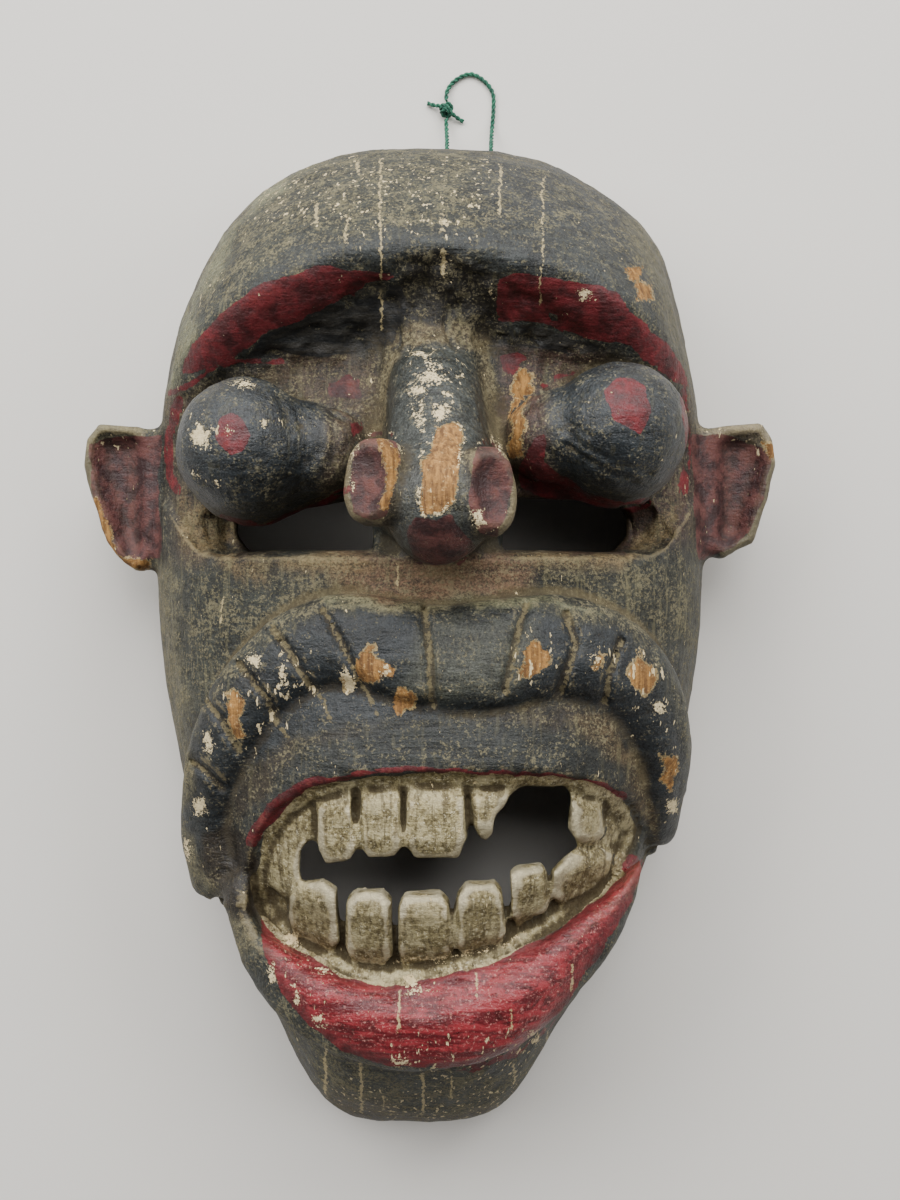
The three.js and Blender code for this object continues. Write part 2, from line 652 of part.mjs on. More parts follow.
// The knot is a small lump with two short tails
function cordKnot() {
  const body = pebble([KNOT_WIDTH / 2, KNOT_LENGTH / 2, KNOT_WIDTH / 2], [0, 0, 0], KNOT.toArray(), 8);
  const tail = (turn) => {
    const geometry = new THREE.CylinderGeometry(CORD_RADIUS, CORD_RADIUS * 0.8, KNOT_TAIL, 8);
    geometry.translate(0, KNOT_TAIL / 2, 0).rotateZ(turn);
    return solid(geometry.translate(KNOT.x, KNOT.y, CORD_RADIUS + 0.1));
  };
  return join([body, tail(1.15), tail(-2.1)]);
}

const model = new THREE.Group();
model.add(
  meshOf(mask(), 'mask', WOOD),
  meshOf(hangingCord(), 'hanging_cord', TWINE),
  meshOf(cordKnot(), 'cord_knot', TWINE),
);

export default model;
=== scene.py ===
"""A carved wooden shaman mask with a loop of green twine, lying face up on a pale floor."""

import itertools
import math

import bpy
import numpy as np
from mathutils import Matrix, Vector


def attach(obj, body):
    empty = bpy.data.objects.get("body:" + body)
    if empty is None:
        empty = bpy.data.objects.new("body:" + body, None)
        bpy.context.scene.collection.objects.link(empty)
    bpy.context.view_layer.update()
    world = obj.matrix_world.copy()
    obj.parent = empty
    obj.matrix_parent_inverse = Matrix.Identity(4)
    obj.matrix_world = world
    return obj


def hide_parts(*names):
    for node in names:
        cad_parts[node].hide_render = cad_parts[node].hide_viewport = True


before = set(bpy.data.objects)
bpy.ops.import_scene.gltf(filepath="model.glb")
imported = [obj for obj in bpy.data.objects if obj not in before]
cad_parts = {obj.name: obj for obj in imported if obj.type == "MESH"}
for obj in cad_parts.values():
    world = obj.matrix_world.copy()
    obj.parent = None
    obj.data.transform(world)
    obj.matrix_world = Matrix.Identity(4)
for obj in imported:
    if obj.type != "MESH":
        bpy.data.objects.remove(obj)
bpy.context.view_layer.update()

# The carving is worked out in millimetres and becomes metres as its mesh is made
MM = 0.001

# Head block
HEAD_WIDTH = 203.0
HEAD_HEIGHT = 362.0
FACE_DEPTH = 85.0
MUZZLE_RISE = 22.0
BROW_RISE = 20.0
SOCKET_DEPTH = 9.0
RIM_WALL = 13.0
FRONT_WALL = 20.0
RIM_ROUNDING = 2.0
HALF_WIDTH = HEAD_WIDTH / 2
CROWN_Y = HEAD_HEIGHT / 2
WIDEST_Y = 0.0625 * HEAD_HEIGHT
CROWN_POWER = 2.75
JAW_POWER = 1.755
CHIN_POWER = 1.6
CHIN_START = 0.775
JAW_LEAN = 0.055 * HALF_WIDTH
CORNER_TURN = math.radians(55)
CORNER_SPREAD = math.radians(9)
CORNER_SWELL = 0.03
SIDE_POWER = 3.4
FRONT_POWER = 2.6
FRONT_SHARE = 0.974

# Ears
EAR_SPAN = 248.0
EAR_THICKNESS = 15.0
EAR_HEIGHT = 27.0
EAR_DISH = 6.0
EAR_ROOT = 10.0
EAR_TOP = 0.216
EAR_LOBE = 0.066
EAR_ROUNDING = 4.0

# Eyes and slits
LEFT_EYE_RADIUS = 22.8
RIGHT_EYE_RADIUS = 22.4
LEFT_EYE_RISE = 8.0
RIGHT_EYE_RISE = 9.0
EYE_STEM_RADIUS = 12.0
EYE_STEM_RISE = 2.0
LID_THICKNESS = 2.0
SLIT_LENGTH = 46.0
SLIT_HEIGHT = 17.0

# Nose
NOSE_ROOT_RADIUS = 14.5
NOSE_TIP_RADIUS = 16.5
NOSTRIL_WIDTH = 18.0
NOSTRIL_LENGTH = 27.0
NOSTRIL_DISH = 3.5

# Moustache and lips
MOUSTACHE_WIDTH = 34.0
MOUSTACHE_LIFT = 12.0
MOUSTACHE_END = 8.0
GROOVE_DEPTH = 1.9
LIP_WIDTH = 29.0
LIP_LIFT = 13.0
LIP_END = 10.0
ROLL_SINK = 2.0

# Mouth
MOUTH_RECESS = 9.0
TOOTH_THICKNESS = 9.0
TOOTH_PROUD = 4.6
TOOTH_ROUNDING = 1.1
BITE_ROUNDING = 3.0
MOUTH_FLARE = 0.6
GUM_BAND = 7.0
GUM_BAND_RISE = 5.0

# Fillets where one form meets another, and where one is cut from another
FILLET = {
    "neck": 1.6, "lid": 1.2, "eye": 2.0, "flank": 4.0, "bridge": 9.0, "lobe": 5.0, "stalk": 3.0,
    "nostril_dish": 1.4, "nostril": 2.2, "nose": 5.0, "moustache": 1.8, "lower_lip": 3.0,
    "recess": 5.0, "opening": 1.6, "tooth": 1.0, "ear": 5.0, "slit": 2.4, "scoop": 3.0,
    "hollow": 3.0, "hole": 1.2,
}

# Twine and its holes
CORD_DIAMETER = 1.8
CORD_HOLE = 5.0
HOLE_SPACING = 16.6
HOLES_X = 14.4
HOLE_HEIGHT = 12.0
LOOP_REACH = 36.0
KNOT_LENGTH = 6.5
KNOT_WIDTH = 5.0
CLEARANCE = 0.35

# Places in the picture are pixels of a 900 by 1200 view from straight above the face.
# The eye of that view is at PICTURE_EYE, in millimetres, and it looks straight down.
PICTURE_SIZE = (900, 1200)
PICTURE_EYE = (7.2, 13.4, 485.0)
PICTURE_FOCUS = 1250.0


def picture_place(x, y, z):
    """Where points in millimetres are in the picture, in pixels from its upper left corner."""
    scale = PICTURE_FOCUS / np.maximum(PICTURE_EYE[2] - z, 1.0)
    return (PICTURE_SIZE[0] / 2 + (x - PICTURE_EYE[0]) * scale,
            PICTURE_SIZE[1] / 2 - (y - PICTURE_EYE[1]) * scale)


def put_in_scene(name, data):
    thing = bpy.data.objects.new(name, data)
    bpy.context.collection.objects.link(thing)
    return thing


# Camera

def make_camera():
    """A camera at the eye of the picture, with the picture's upper side towards the crown."""
    data = bpy.data.cameras.new("camera")
    data.sensor_width = 36.0
    data.lens = data.sensor_width * PICTURE_FOCUS / PICTURE_SIZE[1]
    camera = put_in_scene("camera", data)
    camera.location = Vector(PICTURE_EYE) * MM
    bpy.context.scene.camera = camera


make_camera()


# Small helpers for curves and blends

CELL_CORNERS = tuple(itertools.product((0, 1), repeat=3))


def clamp(value, low=0.0, high=1.0):
    return np.clip(value, low, high)


def smooth_step(value, low, high):
    t = clamp((value - low) / (high - low))
    return t * t * (3 - 2 * t)


def dome(q):
    return np.maximum(0.0, 1 - q * q)


def smooth_join(a, b, blend):
    """The union of two distance fields with a fillet."""
    meet = np.maximum(blend - np.abs(a - b), 0.0) / blend
    return np.minimum(a, b) - meet * meet * blend / 4


def smooth_cut(a, b, blend):
    """Field a with b cut out of it, with rounded edges."""
    return -smooth_join(-a, b, blend)


def on_the_way(t, start, end, first, last):
    """What lies between two values at t, when they are met at start and end."""
    return (end - t) / (end - start) * first + (t - start) / (end - start) * last


def catmull_rom(places, steps):
    """A centripetal curve through the places."""
    points = np.array(places, float)
    first, last = 2 * points[0] - points[1], 2 * points[-1] - points[-2]
    points = np.vstack([first, points, last])
    samples = []
    for p0, p1, p2, p3 in zip(points, points[1:], points[2:], points[3:]):
        t0 = 0.0
        t1 = t0 + math.sqrt(np.linalg.norm(p1 - p0))
        t2 = t1 + math.sqrt(np.linalg.norm(p2 - p1))
        t3 = t2 + math.sqrt(np.linalg.norm(p3 - p2))
        for t in np.linspace(t1, t2, steps, endpoint=False):
            a1 = on_the_way(t, t0, t1, p0, p1)
            a2 = on_the_way(t, t1, t2, p1, p2)
            a3 = on_the_way(t, t2, t3, p2, p3)
            b1 = on_the_way(t, t0, t2, a1, a2)
            b2 = on_the_way(t, t1, t3, a2, a3)
            samples.append(on_the_way(t, t1, t2, b1, b2))
    samples.append(points[-2])
    return np.array(samples)


def evenly(samples, count):
    """The same curve with a given number of points, evenly spaced along it."""
    steps = np.linalg.norm(np.diff(samples, axis=0), axis=1)
    length = np.concatenate([[0.0], np.cumsum(steps)])
    wanted = np.linspace(0, length[-1], count)
    spaced = [np.interp(wanted, length, samples[:, axis]) for axis in range(samples.shape[1])]
    return np.stack(spaced, axis=1), length[-1]


def value_noise(x, y, z, seed):
    """Smooth noise from -1 to 1 that changes over one unit, the same on every run."""
    cells = [np.floor(v).astype(np.int64) for v in (x, y, z)]
    parts = [v - c for v, c in zip((x, y, z), cells)]
    parts = [t * t * (3 - 2 * t) for t in parts]

    def corner(dx, dy, dz):
        mix = (cells[0] + dx) * 73856093 ^ (cells[1] + dy) * 19349663 ^ (cells[2] + dz) * 83492791
        mix = (mix ^ seed * 2654435761) & 0xFFFFFFFF
        mix = (mix ^ (mix >> 15)) * 2246822519 & 0xFFFFFFFF
        mix = (mix ^ (mix >> 13)) * 3266489917 & 0xFFFFFFFF
        return ((mix ^ (mix >> 16)) & 0xFFFF) / 32767.5 - 1

    total = 0.0
    for shift in CELL_CORNERS:
        weight = 1.0
        for part, upper in zip(parts, shift):
            weight = weight * (part if upper else 1 - part)
        total = total + weight * corner(*shift)
    return total


def layered_noise(x, y, z, wave, seed, layers=3):
    """Noise in several sizes, the largest of which changes over wave millimetres."""
    total, share = 0.0, 1.0
    for layer in range(layers):
        size = wave / 2 ** layer
        total = total + share * value_noise(x / size, y / size, z / size, seed + layer)
        share *= 0.5
    return total


def distance_to_line(px, py, line):
    """How far places are from a line of points, by its nearest stretch."""
    nearest = np.full(np.shape(px), 1e9)
    for (ax, ay), (bx, by) in zip(line, line[1:]):
        run = (bx - ax, by - ay)
        along = clamp(((px - ax) * run[0] + (py - ay) * run[1]) / (run[0] ** 2 + run[1] ** 2 + 1e-9))
        away = np.hypot(px - ax - along * run[0], py - ay - along * run[1])
        nearest = np.minimum(nearest, away)
    return nearest


def depth_in_outline(px, py, outline):
    """How deep places are inside a closed outline; negative outside it."""
    inside = np.zeros(np.shape(px), bool)
    closed = list(outline) + [outline[0]]
    for (ax, ay), (bx, by) in zip(closed, closed[1:]):
        crosses = (ay > py) != (by > py)
        at = ax + (bx - ax) * (py - ay) / (by - ay if by != ay else 1e-9)
        inside ^= crosses & (px < at)
    away = distance_to_line(px, py, closed)
    return np.where(inside, away, -away)


# Twine: the same route as the plain solid's, from the knot through both holes and round

HOLE_XS = (HOLES_X - HOLE_SPACING / 2, HOLES_X + HOLE_SPACING / 2)
KNOT = (HOLE_XS[0] - 0.4, CROWN_Y + 0.6 * LOOP_REACH, KNOT_WIDTH / 2)
STRANDS = 2
STRAND_RADIUS = 0.46
STRAND_PITCH = 4.2
STRAND_SIDES = 8
TWIST_TIGHTNESS = 0.92
WELD_DISTANCE = 1e-6
CURVE_STEPS = 24  # samples between two places of a curve
LOOP_POINTS = 420
KNOT_POINTS = 260
KNOT_TIGHTNESS = 0.95


def cord_route():
    left, right = HOLE_XS
    middle = HOLES_X
    inner = CROWN_Y - RIM_WALL
    loop_end = CROWN_Y + LOOP_REACH
    floor = CORD_DIAMETER / 2 + 0.15
    knot_end = KNOT_LENGTH / 2 + CLEARANCE
    return [
        (KNOT[0], KNOT[1] - knot_end, KNOT[2]), (KNOT[0] + 0.2, KNOT[1] - knot_end - 4, 2.9),
        (left, CROWN_Y + 9, 6.2), (left, CROWN_Y + 3, 10.8), (left, CROWN_Y - 3, HOLE_HEIGHT),
        (left, inner, HOLE_HEIGHT), (left + 0.8, inner - 4.5, HOLE_HEIGHT - 0.6),
        (left + 4, inner - 7.6, HOLE_HEIGHT - 1.2), (middle, inner - 8.4, HOLE_HEIGHT - 1.5),
        (right - 4, inner - 7.6, HOLE_HEIGHT - 1.2), (right - 0.8, inner - 4.5, HOLE_HEIGHT - 0.6),
        (right, inner, HOLE_HEIGHT), (right, CROWN_Y - 3, HOLE_HEIGHT), (right + 0.1, CROWN_Y + 3, 10.6),
        (right + 0.4, CROWN_Y + 9, 5.4), (right + 0.8, CROWN_Y + 15, 1.8),
        (right + 1.3, CROWN_Y + 0.6 * LOOP_REACH, floor), (right + 1, CROWN_Y + 0.8 * LOOP_REACH, floor),
        (right - 2.6, loop_end - 2.4, floor), (middle + 0.6, loop_end, floor),
        (left + 3, loop_end - 2.6, floor), (left + 0.1, loop_end - 6.6, 1.5),
        (KNOT[0], KNOT[1] + knot_end, KNOT[2]),
    ]


def feed(node, inputs):
    """Gives the named inputs of a node their links or values."""
    for name, value in dict(inputs).items():
        socket = node.inputs[name]
        if isinstance(value, bpy.types.NodeSocket):
            node.id_data.links.new(value, socket)
        elif socket.type == "RGBA":
            socket.default_value = (*value, 1.0)
        else:
            socket.default_value = value


def add_node(tree, kind, inputs=(), **settings):
    node = tree.nodes.new(kind)
    for name, value in settings.items():
        setattr(node, name, value)
    feed(node, inputs)
    return node


def line_object(name, points):
    """A plain mesh of one run of edges through the points, in metres."""
    mesh = bpy.data.meshes.new(name)
    edges = [(i, i + 1) for i in range(len(points) - 1)]
    mesh.from_pydata([tuple(p) for p in points], edges, [])
    return put_in_scene(name, mesh)


def twisted_strands(name, material):
    """A tree of nodes that turns a run of edges into closed strands twisted round it."""
    tree = bpy.data.node_groups.new(name, "GeometryNodeTree")
    face = tree.interface
    face.new_socket("Geometry", in_out="INPUT", socket_type="NodeSocketGeometry")
    for label in ("Strand radius", "Twist radius", "Pitch"):
        face.new_socket(label, in_out="INPUT", socket_type="NodeSocketFloat")
    face.new_socket("Geometry", in_out="OUTPUT", socket_type="NodeSocketGeometry")
    given = add_node(tree, "NodeGroupInput").outputs
    route = add_node(tree, "GeometryNodeMeshToCurve", {"Mesh": given["Geometry"]})
    place = add_node(tree, "GeometryNodeSplineParameter")
    normal = add_node(tree, "GeometryNodeInputNormal")
    tangent = add_node(tree, "GeometryNodeInputTangent")
    gather = add_node(tree, "GeometryNodeJoinGeometry")
    for strand in range(STRANDS):
        turns = add_node(tree, "ShaderNodeMath", {0: place.outputs["Length"], 1: given["Pitch"]},
                         operation="DIVIDE")
        start = 2 * math.pi * strand / STRANDS
        angle = add_node(tree, "ShaderNodeMath", {0: turns.outputs[0], 1: 2 * math.pi, 2: start},
                         operation="MULTIPLY_ADD")
        swing = add_node(tree, "ShaderNodeVectorRotate", {
            "Vector": normal.outputs["Normal"], "Axis": tangent.outputs["Tangent"],
            "Angle": angle.outputs[0],
        })
        offset = add_node(tree, "ShaderNodeVectorMath",
                          {0: swing.outputs["Vector"], "Scale": given["Twist radius"]}, operation="SCALE")
        moved = add_node(tree, "GeometryNodeSetPosition",
                         {"Geometry": route.outputs["Curve"], "Offset": offset.outputs["Vector"]})
        ring = add_node(tree, "GeometryNodeCurvePrimitiveCircle",
                        {"Resolution": STRAND_SIDES, "Radius": given["Strand radius"]})
        tube = add_node(tree, "GeometryNodeCurveToMesh", {
            "Curve": moved.outputs["Geometry"], "Profile Curve": ring.outputs["Curve"],
            "Fill Caps": True,
        })
        tree.links.new(tube.outputs["Mesh"], gather.inputs["Geometry"])
    weld = add_node(tree, "GeometryNodeMergeByDistance",
                    {"Geometry": gather.outputs["Geometry"], "Distance": WELD_DISTANCE})
    real = add_node(tree, "GeometryNodeRealizeInstances", {"Geometry": weld.outputs["Geometry"]})
    coat = add_node(tree, "GeometryNodeSetMaterial",
                    {"Geometry": real.outputs["Geometry"], "Material": material})
    add_node(tree, "NodeGroupOutput", {"Geometry": coat.outputs["Geometry"]})
    return tree


def as_plain_mesh(obj, name):
    """The evaluated object as a new plain mesh object, and the old one gone."""
    bpy.context.view_layer.update()
    graph = bpy.context.evaluated_depsgraph_get()
    mesh = bpy.data.meshes.new_from_object(obj.evaluated_get(graph))
    mesh.name = name
    bpy.data.objects.remove(obj)
    for polygon in mesh.polygons:
        polygon.use_smooth = True
    return put_in_scene(name, mesh)


def twist(name, points, tree, strand_radius):
    """Twisted strands along points given in millimetres."""
    line = line_object(name + "_line", np.array(points) * MM)
    modifier = line.modifiers.new("strands", "NODES")
    modifier.node_group = tree
    sizes = {
        "Strand radius": strand_radius * MM,
        "Twist radius": strand_radius * MM * TWIST_TIGHTNESS,
        "Pitch": STRAND_PITCH * MM,
    }
    for socket in tree.interface.items_tree:
        if socket.item_type == "SOCKET" and socket.name in sizes:
            modifier[socket.identifier] = sizes[socket.name]
    return as_plain_mesh(line, name)


def knot_route():
    """An overhand lump: a line that winds round itself, from one tail to the other."""
    x, y, _ = KNOT
    return [
        (x - 7.2, y + 3.1, 1.1), (x - 4.4, y + 2.1, 1.6), (x - 1.6, y + 1.4, 3.2),
        (x + 1.5, y + 1.7, 3.9), (x + 1.9, y - 0.2, 2.2), (x - 0.2, y - 0.6, 1.0),
        (x - 1.9, y + 0.3, 2.0), (x - 1.2, y + 1.2, 3.6), (x + 0.9, y + 0.1, 4.0),
        (x + 1.9, y - 1.4, 2.6), (x + 0.2, y - 2.0, 1.2), (x - 1.7, y - 1.4, 2.4),
        (x - 0.9, y - 0.4, 4.0), (x + 1.2, y - 1.0, 3.4), (x + 4.0, y - 2.6, 1.7),
        (x + 6.6, y - 4.0, 1.1),
    ]


# Node materials are put together with a few short helpers

class Finish:
    """A material's node tree, with short calls for the nodes that every finish here needs."""

    def __init__(self, name):
        self.material = bpy.data.materials.new(name)
        self.material.use_nodes = True
        self.tree = self.material.node_tree
        self.tree.nodes.clear()
        output = self.tree.nodes.new("ShaderNodeOutputMaterial")
        self.shader = self.tree.nodes.new("ShaderNodeBsdfPrincipled")
        self.tree.links.new(self.shader.outputs[0], output.inputs["Surface"])
        self.place = self.tree.nodes.new("ShaderNodeTexCoord").outputs["Object"]

    def math(self, operation, *values):
        return add_node(self.tree, "ShaderNodeMath", enumerate(values), operation=operation).outputs[0]

    def add(self, a, b):
        return self.math("ADD", a, b)

    def less(self, a, b):
        return self.math("SUBTRACT", a, b)

    def times(self, a, b):
        return self.math("MULTIPLY", a, b)

    def most(self, *values):
        """The largest of the values."""
        result = values[0]
        for value in values[1:]:
            result = self.math("MAXIMUM", result, value)
        return result

    def centred(self, value, amount):
        """A noise from 0 to 1 made one round 0, of the given amount."""
        return self.times(self.less(value, 0.5), amount)

    def step(self, value, low, high, most=1.0):
        """0 up to low, most from high on, and a soft edge between them."""
        inputs = {"Value": value, "From Min": low, "From Max": high}
        node = add_node(self.tree, "ShaderNodeMapRange", inputs, interpolation_type="SMOOTHSTEP")
        result = node.outputs["Result"]
        return result if most == 1.0 else self.times(result, most)

    def mix(self, share, first, second, blend="MIX"):
        first, second = (linear(c) if isinstance(c, str) else c for c in (first, second))
        inputs = {0: share, 6: first, 7: second}
        node = add_node(self.tree, "ShaderNodeMix", inputs, data_type="RGBA", blend_type=blend)
        return node.outputs[2]

    def grey(self, value):
        return add_node(self.tree, "ShaderNodeCombineColor", {0: value, 1: value, 2: value}).outputs[0]

    def stretched(self, stretch):
        """Object coordinates with each axis stretched by its own number."""
        inputs = {"Vector": self.place, "Scale": stretch}
        return add_node(self.tree, "ShaderNodeMapping", inputs).outputs["Vector"]

    def noise(self, per_metre, detail=3.0, rough=0.55, vector=None, warp=0.0):
        inputs = {"Vector": vector or self.place, "Scale": per_metre, "Detail": detail,
                  "Roughness": rough, "Distortion": warp}
        return add_node(self.tree, "ShaderNodeTexNoise", inputs).outputs["Fac"]

    def attribute(self, name, part="Fac"):
        return add_node(self.tree, "ShaderNodeAttribute", attribute_name=name).outputs[part]

    def bump(self, height, distance, strength):
        inputs = {"Strength": strength, "Distance": distance, "Height": height}
        return add_node(self.tree, "ShaderNodeBump", inputs).outputs["Normal"]

    def finish(self, inputs):
        feed(self.shader, inputs)
        return self.material


def linear(code):
    """A colour written as its usual hex code, in linear light."""
    parts = [int(code[i:i + 2], 16) / 255 for i in (1, 3, 5)]
    return tuple(c / 12.92 if c <= 0.04045 else ((c + 0.055) / 1.055) ** 2.4 for c in parts)


def twine_finish():
    finish = Finish("green_twine")
    fibre = finish.noise(2600, 4, 0.6, finish.stretched((1.0, 0.35, 1.0)))
    patch = finish.noise(260, 2)
    colour = finish.mix(finish.step(patch, 0.35, 0.7), "#14483a", "#2a6b52")
    colour = finish.mix(finish.step(fibre, 0.5, 0.75, 0.45), colour, "#6f8f74")
    bump = finish.bump(fibre, 0.0002, 0.6)
    return finish.finish({"Base Color": colour, "Roughness": 0.85, "Normal": bump})


def make_twine():
    tree = twisted_strands("twisted_strands", twine_finish())
    route = cord_route()
    points, length = evenly(catmull_rom(route, CURVE_STEPS), LOOP_POINTS)
    loop = twist("hanging_loop", points, tree, STRAND_RADIUS)
    coil, _ = evenly(catmull_rom(knot_route(), CURVE_STEPS), KNOT_POINTS)
    knot = twist("loop_knot", coil, tree, STRAND_RADIUS * KNOT_TIGHTNESS)
    for piece, node in ((loop, "hanging_cord"), (knot, "cord_knot")):
        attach(piece, "root")
        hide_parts(node)


make_twine()


# The carving: head outline and front, as in the plain solid

def x_of(share):
    return share * FRONT_SHARE * HALF_WIDTH


def y_of(share):
    return share * FRONT_SHARE * HEAD_HEIGHT


def jaw_lean(y):
    share = np.maximum(0.0, (WIDEST_Y - y) / (WIDEST_Y + CROWN_Y))
    return JAW_LEAN * share * share


def outline_radius(angle):
    above = np.sin(angle) > 0
    sideways, upwards = np.abs(np.cos(angle)), np.abs(np.sin(angle))
    rise = np.where(above, CROWN_Y - WIDEST_Y, CROWN_Y + WIDEST_Y)
    turn = np.arctan2(upwards, sideways) / (math.pi / 2)
    blunt = np.maximum(0.0, (turn - CHIN_START) / (1 - CHIN_START)) ** 2
    power = np.where(above, CROWN_POWER, JAW_POWER + CHIN_POWER * blunt)
    radius = ((sideways / HALF_WIDTH) ** power + (upwards / rise) ** power) ** (-1 / power)
    corner = (np.arctan2(np.sin(angle), np.cos(angle)) - CORNER_TURN) / CORNER_SPREAD
    return radius * (1 + CORNER_SWELL * np.exp(-corner ** 2))


def reach_of(x, y, inset=0.0):
    right, up = x + jaw_lean(y), y - WIDEST_Y
    return np.hypot(right, up) / (outline_radius(np.arctan2(up, right)) - inset)


def plain_front(x, y):
    reach = np.minimum(1.0, reach_of(x, y))
    return FACE_DEPTH * (1 - reach ** SIDE_POWER) ** (1 / FRONT_POWER)


def brow_y(x):
    return y_of(0.341) - y_of(0.123) * (x / HALF_WIDTH) ** 2


def muzzle_rise(x, y):
    return MUZZLE_RISE * dome(np.hypot(x / x_of(0.9), (y - y_of(-0.21)) / y_of(0.27)))


def brow_rise(x, y):
    above = np.maximum(0.0, y - brow_y(x)) / y_of(0.13)
    below = np.maximum(0.0, brow_y(x) - y - y_of(0.045)) / y_of(0.04)
    return BROW_RISE * np.exp(-above ** 2 - below ** 2)


def edge_fade(x, y, power=6):
    return 1 - np.minimum(1.0, reach_of(x, y)) ** power


def front_z(x, y):
    """The front of the face before its sockets, mouth and rolls, where the rolls are set."""
    return plain_front(x, y) + (brow_rise(x, y) + muzzle_rise(x, y)) * edge_fade(x, y)


def socket_bottom(x):
    return y_of(0.084) + y_of(0.055) * smooth_step(np.abs(x) / HALF_WIDTH, 0.62, 0.95) ** 2


SOCKET_EDGE = 3.2  # how wide the rounded step from cheek to socket is
BROW_UNDERSIDE = 33.0  # from the brow's crest down to the socket's roof
BROW_CREST_ROUNDING = 8.0


def carved_relief(x, y):
    """How far the carved front stands out of the plain one, over the whole face."""
    fade = edge_fade(x, y)
    outside = (brow_rise(x, y) + muzzle_rise(x, y)) * fade
    floor = -SOCKET_DEPTH * edge_fade(x, y, 4)
    down = brow_y(x) + BROW_CREST_ROUNDING - y
    under = smooth_step(down, 0.0, BROW_UNDERSIDE)
    up = smooth_step(y - socket_bottom(x), -SOCKET_EDGE, SOCKET_EDGE)
    return outside + (floor - outside) * under * up


# The block of space that is carved, cell by cell

STEP = 1.25
BLOCK_LOW = (-126.0, -183.0, -3.75)
BLOCK_HIGH = (126.0, 183.0, 137.5)


class Places:
    """Single places, to be asked how far they are from a form."""

    def __init__(self, points):
        self.x, self.y, self.z = points.T

    def away(self, centre):
        return self.x - centre[0], self.y - centre[1], self.z - centre[2]


class Block(Places):
    """A box of cells in the carving, and the places of its corners."""

    def __init__(self, low, high):
        starts = [max(0, int((a - b) / STEP)) for a, b in zip(low, BLOCK_LOW)]
        counts = [int((b - a) / STEP) + 1 for a, b in zip(BLOCK_LOW, BLOCK_HIGH)]
        ends = [min(n, int((a - b) / STEP) + 2) for a, b, n in zip(high, BLOCK_LOW, counts)]
        self.part = tuple(slice(a, b) for a, b in zip(starts, ends))
        axes = [
            (origin + STEP * np.arange(a, b)).astype(np.float32)
            for origin, a, b in zip(BLOCK_LOW, starts, ends)
        ]
        self.x = axes[0][:, None, None]
        self.y = axes[1][None, :, None]
        self.z = axes[2][None, None, :]
        self.flat_x, self.flat_y = axes[0][:, None], axes[1][None, :]

    def level(self, values):
        """Turns any field that is 0 on a surface into one that is nearly a distance."""
        slopes = np.gradient(values, STEP)
        steepness = np.sqrt(sum(slope * slope for slope in slopes))
        return (values / np.maximum(steepness, 1e-4)).astype(np.float32)


def domed_block(block, inset, depth, raise_by):
    reach = reach_of(block.flat_x, block.flat_y, inset)[:, :, None]
    height = np.maximum(block.z - raise_by(block.flat_x, block.flat_y)[:, :, None], 0.0)
    swell = (reach ** SIDE_POWER + (height / depth) ** FRONT_POWER) ** (1 / 3) - 1
    return block.level(swell)


def round_cone(block, start, end, start_radius, end_radius):
    """The hull of two balls."""
    start, end = np.array(start), np.array(end)
    length = np.linalg.norm(end - start)
    axis = (end - start) / length
    dx, dy, dz = block.away(start)
    along = dx * axis[0] + dy * axis[1] + dz * axis[2]
    across = np.sqrt(np.maximum(dx * dx + dy * dy + dz * dz - along * along, 0.0))
    slope = (start_radius - end_radius) / length
    lean = math.sqrt(1 - slope * slope)
    meet = along * lean - across * slope
    near = np.sqrt(across * across + along * along) - start_radius
    far = np.sqrt(across * across + (along - length) ** 2) - end_radius
    side = across * lean + along * slope - start_radius
    return np.where(meet < 0, near, np.where(meet > lean * length, far, side))


def turned(turn):
    """The matrix of a turn about X, then Y, then Z as a rotation of axes."""
    cx, cy, cz = (math.cos(t) for t in turn)
    sx, sy, sz = (math.sin(t) for t in turn)
    about_x = np.array([[1, 0, 0], [0, cx, -sx], [0, sx, cx]])
    about_y = np.array([[cy, 0, sy], [0, 1, 0], [-sy, 0, cy]])
    about_z = np.array([[cz, -sz, 0], [sz, cz, 0], [0, 0, 1]])
    return about_x @ about_y @ about_z


def pebble(block, half_sizes, turn, centre, squareness=2.0):
    """A stretched ball, or a squarer lump."""
    matrix = turned(turn)
    away = block.away(centre)
    local = [sum(matrix[j][i] * away[j] for j in range(3)) for i in range(3)]
    shares = [np.abs(v) / r for v, r in zip(local, half_sizes)]
    near = sum(share ** squareness for share in shares) ** (1 / squareness)
    return block.level(near - 1)


def slab(block, depth_inside, low, high, rounding):
    """A flat thickness over an outline given by how deep each place is inside it."""
    away = -depth_inside[:, :, None] + rounding
    tall = np.abs(block.z - (low + high) / 2) - (high - low) / 2 + rounding
    outer = np.hypot(np.maximum(away, 0), np.maximum(tall, 0))
    return outer + np.minimum(np.maximum(away, tall), 0) - rounding


def cut_lines(block, lines, pixels):
    """1 on lines of the picture, falling to 0 within a few pixels of them."""
    px, py = picture_place(block.x, block.y, block.z)
    cut = np.zeros(px.shape, np.float32)
    for line in lines:
        cut = np.maximum(cut, np.exp(-(distance_to_line(px, py, line) / pixels) ** 2))
    return cut


def blend_in(field, block, shape, blend):
    """Joins a shape to the wood in its block of the field."""
    field[block.part] = smooth_join(field[block.part], shape, blend)


# Eyes

